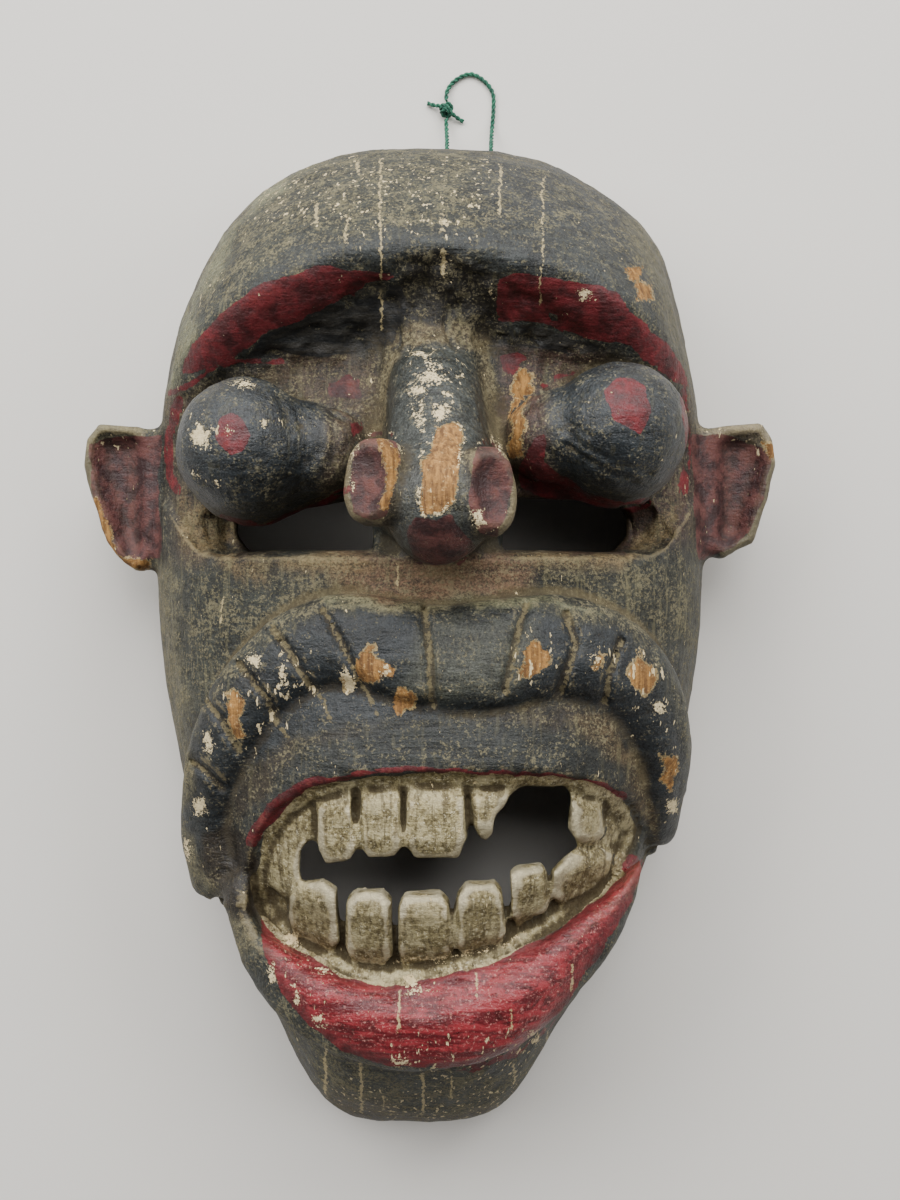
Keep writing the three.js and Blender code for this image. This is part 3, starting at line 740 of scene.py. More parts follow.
EYES = (
    {"ball": (-0.58, 0.175, LEFT_EYE_RISE), "stem": (-0.34, 0.174, EYE_STEM_RISE),
     "radius": LEFT_EYE_RADIUS, "lid": LID_THICKNESS},
    {"ball": (0.615, 0.191, RIGHT_EYE_RISE), "stem": (0.4, 0.186, EYE_STEM_RISE),
     "radius": RIGHT_EYE_RADIUS, "lid": 1.3 * LID_THICKNESS},
)
NECK_STEP = 3.6  # how much thinner than its ball an eye's neck begins
NECK_END = 15.0
NECK_SINK = 2.5
NECK_BLEND = 8.0
LID_DROP = 0.42  # of the eye's radius

# Folds cut in the eyes, in the picture
EYE_FOLDS = (
    ((279, 397), (289, 416), (290, 436)), ((304, 470), (318, 452), (322, 430)),
    ((330, 410), (338, 436), (330, 470)), ((300, 424), (309, 438), (306, 462)),
    ((560, 428), (584, 446), (612, 462), (650, 474)), ((566, 446), (596, 466), (636, 484)),
    ((556, 412), (566, 424), (590, 436)),
)
FOLD_PIXELS = 2.6
FOLD_DEPTH = 0.8


def on_plain_front(place):
    x, y = x_of(place[0]), y_of(place[1])
    return np.array([x, y, float(plain_front(np.float64(x), np.float64(y))) + place[2]])


def carve_eye(field, eye):
    ball, stem = on_plain_front(eye["ball"]), on_plain_front(eye["stem"])
    radius = eye["radius"]
    margin = radius + 12
    low = np.minimum(ball, stem) - (margin, margin, margin + 12)
    high = np.maximum(ball, stem) + margin
    block = Block(low, high)
    drop = np.array([0.0, -eye["lid"], -radius * LID_DROP])
    round_ball = round_cone(block, ball, ball + (0.1, 0, 0), radius, radius)
    neck = round_cone(block, ball - (0, 0, NECK_SINK), stem, radius - NECK_STEP, NECK_END)
    eye_shape = smooth_join(round_ball, neck, FILLET["neck"])
    lid = round_cone(block, ball + drop, stem + drop, radius, EYE_STEM_RADIUS)
    eye_shape = smooth_join(eye_shape, lid, FILLET["lid"])
    eye_shape = eye_shape + FOLD_DEPTH * cut_lines(block, EYE_FOLDS, FOLD_PIXELS)
    dx, dy, dz = block.away(ball)
    run = stem - ball
    along = (dx * run[0] + dy * run[1] + dz * run[2]) / np.sum(run ** 2)
    blend = FILLET["eye"] + NECK_BLEND * smooth_step(along, 0.5, 1.1)
    blend_in(field, block, eye_shape, blend)


# Nose

NOSE_ROOT = np.array([x_of(0.02), y_of(0.228), 1.03 * FACE_DEPTH])
NOSE_TIP = np.array([x_of(0.045), y_of(0.12), 1.385 * FACE_DEPTH])
NOSTRILS = tuple(
    NOSE_TIP + (aside * NOSE_TIP_RADIUS, upwards * HEAD_HEIGHT, 0.08 * FACE_DEPTH)
    for aside, upwards in ((-1.12, 0.014), (0.76, 0.006))
)
NOSE_BRIDGE = np.array([1.0, 108.0, 66.0])
NOSE_LOBE = np.array([-0.5, -6.5, -3.0])
NOSE_FLANKS = ((0.15, 1.06), (0.3, 1.2), (0.45, 1.34))  # how far back, and how much wider
NOSTRIL_TURN = (0.35, 0.08)


def carve_nose(field):
    block = Block(NOSE_TIP - (48, 34, 70), NOSE_TIP + (48, 84, 24))
    ridge = round_cone(block, NOSE_ROOT, NOSE_TIP, NOSE_ROOT_RADIUS, NOSE_TIP_RADIUS)
    for sink, swell in NOSE_FLANKS:
        back = np.array([0.0, 0.035 * sink * HEAD_HEIGHT, -sink * FACE_DEPTH])
        wider = round_cone(block, NOSE_ROOT + back, NOSE_TIP + back,
                           swell * NOSE_ROOT_RADIUS, swell * NOSE_TIP_RADIUS)
        ridge = smooth_join(ridge, wider, FILLET["flank"])
    bridge = round_cone(block, NOSE_ROOT - (0, 4, 16), NOSE_BRIDGE, 12.5, 18.0)
    ridge = smooth_join(ridge, bridge, FILLET["bridge"])
    lobe = round_cone(block, NOSE_TIP, NOSE_TIP + NOSE_LOBE, NOSE_TIP_RADIUS - 1, 12.5)
    ridge = smooth_join(ridge, lobe, FILLET["lobe"])
    for side, place in zip((-1, 1), NOSTRILS):
        turn = (0.0, side * NOSTRIL_TURN[0], side * NOSTRIL_TURN[1])
        thick = NOSTRIL_WIDTH / 2
        disc = pebble(block, (thick, NOSTRIL_LENGTH / 2, thick), turn, place, 2.8)
        forward = turned(turn) @ np.array([0.0, 0.0, 1.0])
        dish = (NOSTRIL_WIDTH * 0.38, NOSTRIL_LENGTH * 0.41, 1.5 * NOSTRIL_DISH)
        front = place + forward * (thick + dish[2] - NOSTRIL_DISH)
        stalk = round_cone(block, place - forward * 4, place - forward * 26, 9.0, 10.0)
        disc = smooth_join(disc, stalk, FILLET["stalk"])
        disc = smooth_cut(disc, pebble(block, dish, turn, front, 2.4), FILLET["nostril_dish"])
        ridge = smooth_join(ridge, disc, FILLET["nostril"])
    blend_in(field, block, ridge, FILLET["nose"])


# Rolls of wood that follow places on the face: the moustache and the lower lip

MOUSTACHE = (
    (-0.68, -0.248), (-0.735, -0.17), (-0.66, -0.093), (-0.51, -0.032), (-0.319, 0),
    (0.073, -0.014), (0.45, -0.006), (0.665, -0.036), (0.775, -0.1), (0.79, -0.21),
)
MOUSTACHE_TAPER = (0.85, 0.66, 0.74, 0.84, 0.93, 1.04, 1, 0.88, 0.68, 0.45)
MOUSTACHE_FORM = (0.85, 0.8, 0.85, 0.9, 1, 1, 1, 0.95, 0.9, 0.8)
LIP = (
    (-0.64, -0.215), (-0.49, -0.285), (-0.335, -0.324), (-0.03, -0.347),
    (0.24, -0.325), (0.43, -0.285), (0.565, -0.243), (0.68, -0.19),
)
LIP_TAPER = (0.45, 0.85, 1, 1, 1, 1, 0.85, 0.45)
ROLL_SAMPLES = 220
ROLL_SQUARENESS = 2.5
ROLL_END_REACH = 4.0
ROLL_MARGIN = 24
ROLL_LOWEST = 25.0


class Roll:
    """A roll along places on the face, sunk in it by half."""

    def __init__(self, places, width, lift, end):
        route = []
        for share_x, share_y in places:
            x, y = x_of(share_x), y_of(share_y)
            route.append((x, y, float(front_z(np.float64(x), np.float64(y))) - ROLL_SINK))
        self.centres, length = evenly(catmull_rom(route, 16), ROLL_SAMPLES)
        t = np.linspace(0, 1, ROLL_SAMPLES)
        spread = np.linspace(0, 1, len(width))
        self.width = np.interp(t, spread, width)
        self.lift = np.interp(t, spread, lift)
        from_end = np.minimum(t, 1 - t) * length / end
        self.share = (1 - (1 - clamp(from_end, 0.01, 1.0)) ** 2) ** 0.25
        self.forward = np.gradient(self.centres, axis=0)
        self.forward /= np.linalg.norm(self.forward, axis=1)[:, None]
        normal = self.face_normals()
        self.across = np.cross(self.forward, normal)
        self.across /= np.linalg.norm(self.across, axis=1)[:, None]
        self.up = np.cross(self.across, self.forward)

    def face_normals(self):
        x, y = self.centres[:, 0], self.centres[:, 1]
        step = 2.0
        slope_x = (front_z(x + step, y) - front_z(x - step, y)) / (2 * step)
        slope_y = (front_z(x, y + step) - front_z(x, y - step)) / (2 * step)
        normal = np.stack([-clamp(slope_x, -2, 2) / 2, -clamp(slope_y, -2, 2) / 2, np.ones_like(x)], 1)
        return normal / np.linalg.norm(normal, axis=1)[:, None]

    def nearest(self, x, y):
        """For places seen from above, which sample of the roll is nearest."""
        best = np.full(np.broadcast(x, y).shape, 1e9)
        which = np.zeros(best.shape, int)
        for i in range(0, ROLL_SAMPLES):
            away = (x - self.centres[i, 0]) ** 2 + (y - self.centres[i, 1]) ** 2
            closer = away < best
            best[closer] = away[closer]
            which[closer] = i
        return which

    def field(self, block):
        near = self.nearest(block.flat_x, block.flat_y)
        pick = lambda values: values[near].astype(np.float32)[..., None]
        away = [axis - pick(self.centres[:, i]) for i, axis in enumerate((block.x, block.y, block.z))]
        across = sum(v * pick(self.across[:, i]) for i, v in enumerate(away))
        up = sum(v * pick(self.up[:, i]) for i, v in enumerate(away))
        past = sum(v * pick(self.forward[:, i]) for i, v in enumerate(away))
        beyond = np.where(near == 0, -1.0, 0.0) + np.where(near == ROLL_SAMPLES - 1, 1.0, 0.0)
        past = np.maximum(past * beyond[:, :, None], 0.0)
        half_width = pick(self.width * self.share) / 2
        lift = pick(self.lift * self.share)
        shares = (np.abs(across) / half_width, np.abs(up) / lift, past / ROLL_END_REACH)
        values = sum(share ** ROLL_SQUARENESS for share in shares) ** (1 / ROLL_SQUARENESS) - 1
        return block.level(values)


def reach_of_list(places, margin):
    spots = np.array([(x_of(a), y_of(b)) for a, b in places])
    low, high = spots.min(axis=0) - margin, spots.max(axis=0) + margin
    return (low[0], low[1], BLOCK_LOW[2]), (high[0], high[1], BLOCK_HIGH[2])


# The grooves across the moustache, in the picture
GROOVES = (
    ((272, 628), (298, 668), (337, 724)), ((322, 610), (350, 660), (378, 718)),
    ((238, 664), (266, 700), (288, 742)), ((206, 700), (222, 722), (238, 752)),
    ((424, 608), (430, 660), (433, 706)), ((526, 604), (516, 640), (505, 692)),
    ((567, 612), (577, 644), (559, 696)), ((622, 640), (612, 670), (604, 704)),
    ((192, 762), (206, 772), (222, 790)),
)
GROOVE_PIXELS = 3.6  # half width of a groove in the picture


def carve_roll(field, roll, places, fillet, grooves=()):
    low, high = reach_of_list(places, ROLL_MARGIN)
    block = Block((low[0], low[1], ROLL_LOWEST), high)
    shape = roll.field(block) + GROOVE_DEPTH * cut_lines(block, grooves, GROOVE_PIXELS)
    blend_in(field, block, shape, fillet)


def carve_moustache(field):
    roll = Roll(MOUSTACHE, [share * MOUSTACHE_WIDTH for share in MOUSTACHE_TAPER],
                [share * MOUSTACHE_LIFT for share in MOUSTACHE_FORM], MOUSTACHE_END)
    carve_roll(field, roll, MOUSTACHE, FILLET["moustache"], GROOVES)


def carve_lower_lip(field):
    roll = Roll(LIP, [share * LIP_WIDTH for share in LIP_TAPER],
                [(0.35 + 0.65 * share) * LIP_LIFT for share in LIP_TAPER], LIP_END)
    carve_roll(field, roll, LIP, FILLET["lower_lip"])


# Mouth. Its outlines are places in the picture, on the gums.

def gum_z(x, y):
    return front_z(x, y) - MOUTH_RECESS


def on_gums(outline):
    """Where the gums have the places of an outline in the picture."""
    px, py = np.array(outline, float).T
    z = 90.0
    for _ in range(5):
        scale = (PICTURE_EYE[2] - z) / PICTURE_FOCUS
        x = PICTURE_EYE[0] + (px - PICTURE_SIZE[0] / 2) * scale
        y = PICTURE_EYE[1] - (py - PICTURE_SIZE[1] / 2) * scale
        z = gum_z(x, y)
    return list(zip(x, y))


MOUTH_EDGE = (
    (257, 900), (256, 868), (264, 836), (282, 808), (306, 790), (356, 778), (432, 774), (533, 774),
    (580, 780), (612, 791), (630, 806), (637, 828), (630, 850), (612, 876), (596, 892), (548, 928),
    (486, 958), (432, 972), (390, 980), (345, 970), (300, 944), (270, 924),
)
OPENING = (
    (301, 868), (303, 850), (311, 842), (320, 848), (360, 846), (404, 843), (440, 843), (465, 830),
    (474, 824), (492, 822), (499, 810), (508, 800), (522, 787), (564, 788), (569, 797), (566, 828),
    (577, 846), (562, 858), (551, 870), (550, 886), (540, 888), (508, 906), (455, 920), (396, 926),
    (344, 924), (334, 908), (314, 896), (303, 884),
)

# Each tooth's outline and whether it bites upwards
TEETH = (
    (((318, 803), (352, 788), (357, 848), (350, 861), (326, 863), (318, 850)), False),
    (((360, 786), (400, 781), (403, 846), (396, 856), (368, 858), (361, 847)), False),
    (((407, 781), (463, 780), (467, 838), (458, 857), (414, 859), (407, 847)), False),
    (((471, 782), (513, 786), (505, 804), (496, 816), (493, 834), (487, 842), (479, 838), (474, 824)), False),
    (((571, 797), (600, 793), (605, 836), (596, 846), (577, 842), (570, 826)), False),
    (((290, 893), (297, 883), (322, 881), (336, 890), (340, 940), (331, 952), (296, 936), (289, 915)), True),
    (((347, 900), (355, 892), (382, 892), (391, 900), (392, 956), (384, 964), (353, 960), (347, 945)), True),
    (((398, 905), (405, 895), (441, 893), (450, 903), (452, 955), (445, 963), (402, 964), (398, 950)), True),
    (((457, 894), (466, 884), (494, 882), (502, 890), (507, 930), (501, 942), (464, 956), (456, 945)), True),
    (((511, 874), (518, 868), (541, 866), (547, 872), (550, 898), (546, 912), (517, 928), (510, 915)), True),
    (((553, 870), (570, 855), (606, 845), (614, 852), (608, 880), (590, 896), (562, 908), (552, 895)), True),
)
LEFT_GUM = (
    (264, 884), (268, 846), (292, 816), (313, 806), (311, 838), (305, 856), (302, 870), (303, 888),
    (286, 896),
)
LEFT_GUM_RISE = 2.4
BEVEL_PART = 0.26  # of a tooth's height
BEVEL_DEPTH = 2.6
ROOT_SINK = 2.2
TOOTH_SWELL = 0.45
SHORT_TEETH = (3, 4, 10)  # those that stand out less, counted from the upper left
SHORT_TOOTH = 0.8


LEAN_STEP = 5.0  # how far to each side of a tooth's middle the gum's lean is taken


def tooth(block, x, y, outline, bites_upwards, proud):
    """A block over its outline, leaning as the gum does, with a bevel at its biting edge."""
    spots = np.array(on_gums(outline))
    low, high = spots.min(axis=0), spots.max(axis=0)
    middle = (low + high) / 2
    slope_x, slope_y = (
        (gum_z(*(middle + way)) - gum_z(*(middle - way))) / (2 * LEAN_STEP)
        for way in LEAN_STEP * np.eye(2)
    )
    inside = depth_in_outline(x, y, spots.tolist()) + TOOTH_SWELL
    towards_bite = clamp((y - low[1]) / (high[1] - low[1]))
    if not bites_upwards:
        towards_bite = 1 - towards_bite
    front = gum_z(middle[0], middle[1]) + slope_x * (x - middle[0]) + slope_y * (y - middle[1]) + proud
    front = front - BEVEL_DEPTH * np.maximum(0.0, towards_bite - 1 + BEVEL_PART) / BEVEL_PART
    front = front - ROOT_SINK * (1 - smooth_step(towards_bite, 0.0, 0.3))
    blunt = clamp(1 - inside / BITE_ROUNDING)
    front = front - BITE_ROUNDING * 0.5 * (1 - np.sqrt(1 - blunt ** 2 * 0.96))
    return slab(block, inside, (front - TOOTH_THICKNESS)[:, :, None], front[:, :, None], TOOTH_ROUNDING)


def carve_mouth(field):
    spots = np.array(on_gums(MOUTH_EDGE))
    block = Block((*spots.min(axis=0) - 7, -4.0), (*spots.max(axis=0) + 7, BLOCK_HIGH[2]))
    x, y = np.broadcast_arrays(block.flat_x, block.flat_y)
    inside = depth_in_outline(x, y, spots.tolist())
    rise = GUM_BAND_RISE * (1 - smooth_step(inside, 0.0, GUM_BAND))
    left_gum = depth_in_outline(x, y, on_gums(LEFT_GUM))
    rise = np.maximum(rise, LEFT_GUM_RISE * smooth_step(left_gum, -1.5, 1.5))
    gum = gum_z(x, y) + rise
    floor = block.z - gum[:, :, None] + 0 * block.x
    recess = -np.minimum(inside[:, :, None], floor * 0.85)
    part = smooth_cut(field[block.part], recess, FILLET["recess"])
    behind = np.maximum(gum_z(x, y)[:, :, None] - 2 - block.z, 0.0)
    opening = -depth_in_outline(x, y, on_gums(OPENING))[:, :, None] - MOUTH_FLARE * behind
    part = smooth_cut(part, opening, FILLET["opening"])
    for number, (outline, bites_upwards) in enumerate(TEETH):
        proud = TOOTH_PROUD * (SHORT_TOOTH if number in SHORT_TEETH else 1.0)
        part = smooth_join(part, tooth(block, x, y, outline, bites_upwards, proud), FILLET["tooth"])
    field[block.part] = part


# Ears

def ear_outline(side):
    reach = EAR_SPAN / 2 - HALF_WIDTH
    droop = 0 if side < 0 else 0.012
    root = -EAR_ROOT / reach
    edge = (
        (root, EAR_TOP - 0.008), (0.178, EAR_TOP), (0.752, EAR_TOP + 0.002), (0.945, 0.202), (1, 0.175),
        (0.862, 0.14), (0.642, 0.095), (0.366, EAR_LOBE + 0.008 + droop), (0.146, EAR_LOBE + droop),
        (0, EAR_LOBE + 0.004 + droop), (root, EAR_LOBE + 0.02),
    )
    return [(side * (HALF_WIDTH + share * reach), y_of(y)) for share, y in edge]


def carve_ear(field, side):
    outline = ear_outline(side)
    spots = np.array(outline)
    block = Block((*spots.min(axis=0) - 5, EAR_HEIGHT - 12), (*spots.max(axis=0) + 5, EAR_HEIGHT + 32))
    x, y = np.broadcast_arrays(block.flat_x, block.flat_y)
    inside = depth_in_outline(x, y, outline)
    flap = slab(block, inside, EAR_HEIGHT, EAR_HEIGHT + EAR_THICKNESS, EAR_ROUNDING)
    away = side * x - HALF_WIDTH
    hollow = EAR_DISH * smooth_step(inside, 2.0, 9.5) * smooth_step(away, -2.0, 7.0)
    sunk = block.z - (EAR_HEIGHT + EAR_THICKNESS - hollow)[:, :, None]
    flap = np.maximum(flap, sunk * 0.9)
    blend_in(field, block, flap, FILLET["ear"])


# Slits, hollow and holes

RIGHT_SLIT_SHORTER = 3.5
SCOOP = (12.0, 8.0, 8.0)  # half sizes of the hollow at each slit's outer end


def carve_slit(field, side):
    inner = -x_of(0.19) if side < 0 else x_of(0.25)
    length = SLIT_LENGTH - (RIGHT_SLIT_SHORTER if side > 0 else 0)
    outer = inner + side * length
    low = float(socket_bottom(np.float64(inner))) + 0.5
    high = low + SLIT_HEIGHT
    corner = SLIT_HEIGHT * 0.3
    outline = [
        (inner, low), (outer - side * corner, low), (outer, low + corner),
        (outer, high - corner), (outer - side * corner, high), (inner, high),
    ]
    block = Block((min(inner, outer) - 24, low - 12, -4), (max(inner, outer) + 24, high + 12, 136))
    x, y = np.broadcast_arrays(block.flat_x, block.flat_y)
    inside = depth_in_outline(x, y, outline)
    part = smooth_cut(field[block.part], -inside[:, :, None] + 0 * block.z, FILLET["slit"])
    spot = (outer + side * 2.0, (low + high) / 2)
    floor = plain_front(np.float64(spot[0]), np.float64(spot[1])) - SOCKET_DEPTH
    scoop = pebble(block, SCOOP, (0.0, 0.0, 0.0), (*spot, floor + 1.0))
    field[block.part] = smooth_cut(part, scoop, FILLET["scoop"])


def carve_holes(field):
    for x in HOLE_XS:
        block = Block((x - 8, CROWN_Y - 30, 0), (x + 8, CROWN_Y + 4, 26))
        away = np.sqrt((block.x - x) ** 2 + (block.z - HOLE_HEIGHT) ** 2) - CORD_HOLE / 2 + 0 * block.y
        field[block.part] = smooth_cut(field[block.part], away, FILLET["hole"])


def carve():
    """The whole mask as a distance field over the block, below 0 inside the wood."""
    block = Block(BLOCK_LOW, BLOCK_HIGH)
    field = domed_block(block, 0.0, FACE_DEPTH, carved_relief)
    carve_moustache(field)
    carve_lower_lip(field)
    for side in (-1, 1):
        carve_ear(field, side)
    carve_mouth(field)
    for side in (-1, 1):
        carve_slit(field, side)
    for eye in EYES:
        carve_eye(field, eye)
    carve_nose(field)
    hollow_rise = lambda x, y: 0.5 * muzzle_rise(x, y) * edge_fade(x, y)
    inside = domed_block(block, RIM_WALL, FACE_DEPTH - FRONT_WALL, hollow_rise)
    field = smooth_cut(field, inside, FILLET["hollow"])
    field = -smooth_join(-field, block.z + 0 * field, RIM_ROUNDING)
    carve_holes(field)
    return field


# From the field to a mesh

def surface_net(field):
    """Corners and four-sided faces of the surface where the field is 0."""
    inside = field < 0
    shape = tuple(n - 1 for n in field.shape)
    full = np.zeros(shape, np.int8)
    for i, j, k in CELL_CORNERS:
        full += inside[i:i + shape[0], j:j + shape[1], k:k + shape[2]]
    cells = np.argwhere((full > 0) & (full < 8))
    total = np.zeros((len(cells), 3))
    count = np.zeros(len(cells))
    values = {shift: field[tuple((cells + shift).T)] for shift in CELL_CORNERS}
    for a in CELL_CORNERS:
        for axis in range(3):
            if a[axis]:
                continue
            b = tuple(1 if i == axis else v for i, v in enumerate(a))
            crossed = (values[a] < 0) != (values[b] < 0)
            share = values[a] / np.where(crossed, values[a] - values[b], 1.0)
            spot = np.tile(np.array(a, float), (len(cells), 1))
            spot[:, axis] += share
            total += np.where(crossed[:, None], spot, 0.0)
            count += crossed
    points = (cells + total / count[:, None]) * STEP + np.array(BLOCK_LOW)
    number = np.full(shape, -1, np.int32)
    number[tuple(cells.T)] = np.arange(len(cells))
    faces = []
    for axis in range(3):
        first, second = [a for a in range(3) if a != axis]
        here = [slice(0, -1) if a == axis else slice(1, -1) for a in range(3)]
        next_one = [slice(1, None) if a == axis else slice(1, -1) for a in range(3)]
        start, end = inside[tuple(here)], inside[tuple(next_one)]
        crossing = np.argwhere(start != end)
        leaving = start[tuple(crossing.T)]
        base = crossing.copy()
        base[:, first] += 1
        base[:, second] += 1
        ring = []
        for da, db in ((0, 0), (1, 0), (1, 1), (0, 1)):
            cell = base.copy()
            cell[:, first] -= da
            cell[:, second] -= db
            ring.append(number[tuple(cell.T)])
        ring = np.stack(ring, axis=1)
        flip = leaving if axis != 1 else ~leaving
        faces.append(np.where(flip[:, None], ring, ring[:, ::-1]))
    return points, np.concatenate(faces)


def sample(field, points):
    """The field's values at places in millimetres."""
    at = (points - np.array(BLOCK_LOW)) / STEP
    cell = np.clip(np.floor(at).astype(int), 0, np.array(field.shape) - 2)
    part = at - cell
    total = 0.0
    for shift in CELL_CORNERS:
        weight = np.ones(len(points))
        for axis, upper in enumerate(shift):
            weight *= part[:, axis] if upper else 1 - part[:, axis]
        total = total + weight * field[tuple((cell + shift).T)]
    return total


SOFTENED_REACH = 5.0


def softened(field, passes):
    """The field, kept within a few millimetres of the surface and blurred."""
    soft = np.clip(field, -SOFTENED_REACH, SOFTENED_REACH)
    for _ in range(passes):
        for axis in range(3):
            soft = (np.roll(soft, 1, axis) + 2 * soft + np.roll(soft, -1, axis)) / 4
    return soft


def mesh_from(name, points, faces):
    mesh = bpy.data.meshes.new(name)
    mesh.vertices.add(len(points))
    mesh.vertices.foreach_set("co", (points * MM).astype(np.float32).ravel())
    sides = faces.shape[1]
    mesh.loops.add(faces.size)
    mesh.loops.foreach_set("vertex_index", faces.astype(np.int32).ravel())
    mesh.polygons.add(len(faces))
    mesh.polygons.foreach_set("loop_start", np.arange(0, faces.size, sides, dtype=np.int32))
    mesh.update(calc_edges=True)
    mesh.validate()
    return mesh


MOST_TRIANGLES = 192000


def thinned(mesh, name):
    """The mesh with its flat places made of fewer, larger faces."""
    obj = put_in_scene(name, mesh)
    mesh.calc_loop_triangles()
    modifier = obj.modifiers.new("thin", "DECIMATE")
    modifier.ratio = min(1.0, MOST_TRIANGLES / len(mesh.loop_triangles))
    modifier.use_collapse_triangulate = True
    return as_plain_mesh(obj, name)


def triples_of(items, key):
    """Three numbers for each of a mesh's items."""
    flat = np.empty(len(items) * 3, np.float32)
    items.foreach_get(key, flat)
    return flat.reshape(-1, 3).astype(float)


HOLLOW_SHELL = 1.12  # how far beyond the hollow's own surface still counts as it


def in_hollow(points):
    """Which places are on the hollow behind the face rather than on its outside."""
    x, y, z = points.T
    rise = 0.5 * muzzle_rise(x, y) * edge_fade(x, y)
    height = np.maximum(z - rise, 0.0) / (FACE_DEPTH - FRONT_WALL)
    swell = reach_of(x, y, RIM_WALL) ** SIDE_POWER + height ** FRONT_POWER
    return swell < HOLLOW_SHELL


SIGHT_STEPS = (3.0, 120.0, 2.0)  # where wood is looked for, from a place towards the eye
SIGHT_SLACK = 0.7


def open_to_eye(field, points):
    """Which places the eye of the picture sees, with no wood before them."""
    towards = np.array(PICTURE_EYE) - points
    towards /= np.linalg.norm(towards, axis=1)[:, None]
    last = np.array(field.shape) - 1
    clear = np.ones(len(points), bool)
    for far in np.arange(*SIGHT_STEPS):
        at = np.rint((points + far * towards - np.array(BLOCK_LOW)) / STEP).astype(int)
        at = np.clip(at, 0, last)
        clear &= field[tuple(at.T)] > -SIGHT_SLACK
    return clear


# Hand work on the surface: knife facets, small waves and wood grain, all of them inwards

CUT_WAVE = 22.0
CUT_DEPTH = 0.9
FACET_WAVE = 9.0
FACET_DEPTH = 0.5
RIPPLE_WAVE = 3.6
RIPPLE_DEPTH = 0.14
CRUMBLE_DEPTH = 1.5
CRUMBLY_AREAS = (
    ((390, 262), (450, 250), (512, 275), (600, 350), (680, 410), (690, 470), (520, 420), (500, 350),
     (390, 350), (350, 420), (180, 400), (240, 362), (330, 306)),
    ((185, 490), (236, 505), (236, 552), (200, 548)),
    ((620, 500), (678, 480), (676, 548), (625, 550)),
)
GOUGE_LENGTH = 26.0
GOUGE_WIDTH = 7.0
GOUGE_DEPTH = 0.9


def hand_work(points, hollow):
    x, y, z = points.T
    cuts = np.abs(layered_noise(x, y * 0.7, z, CUT_WAVE, 11, 2))
    facets = np.abs(layered_noise(x, y * 0.8, z, FACET_WAVE, 17, 2))
    ripples = layered_noise(x, y * 0.4, z, RIPPLE_WAVE, 23, 2)
    px, py = picture_place(x, y, z)
    crumbly = np.zeros(len(points))
    for outline in CRUMBLY_AREAS:
        crumbly = np.maximum(crumbly, smooth_step(depth_in_outline(px, py, outline), -10, 14))
    for eye in EYES:
        ball, stem = on_plain_front(eye["ball"]), on_plain_front(eye["stem"])
        near = round_cone(Places(points), ball, stem, eye["radius"], EYE_STEM_RADIUS)
        crumbly = crumbly * smooth_step(near, 1.0, 4.0)
    depth = CUT_DEPTH * cuts + FACET_DEPTH * facets
    depth = depth + (RIPPLE_DEPTH + CRUMBLE_DEPTH * crumbly) * (1 + ripples)
    gouges = np.abs(layered_noise(x, y * GOUGE_WIDTH / GOUGE_LENGTH, z, GOUGE_WIDTH, 37, 2))
    depth = np.where(hollow, GOUGE_DEPTH * (0.2 + gouges), depth)
    return depth * smooth_step(z, 0.4, 2.5)


# Paint. Areas are outlines in the picture, with their colour and how soft their edge is.

CHARCOAL = linear("#2a2c28")
HIDDEN_GROUND = linear("#2f2c24")

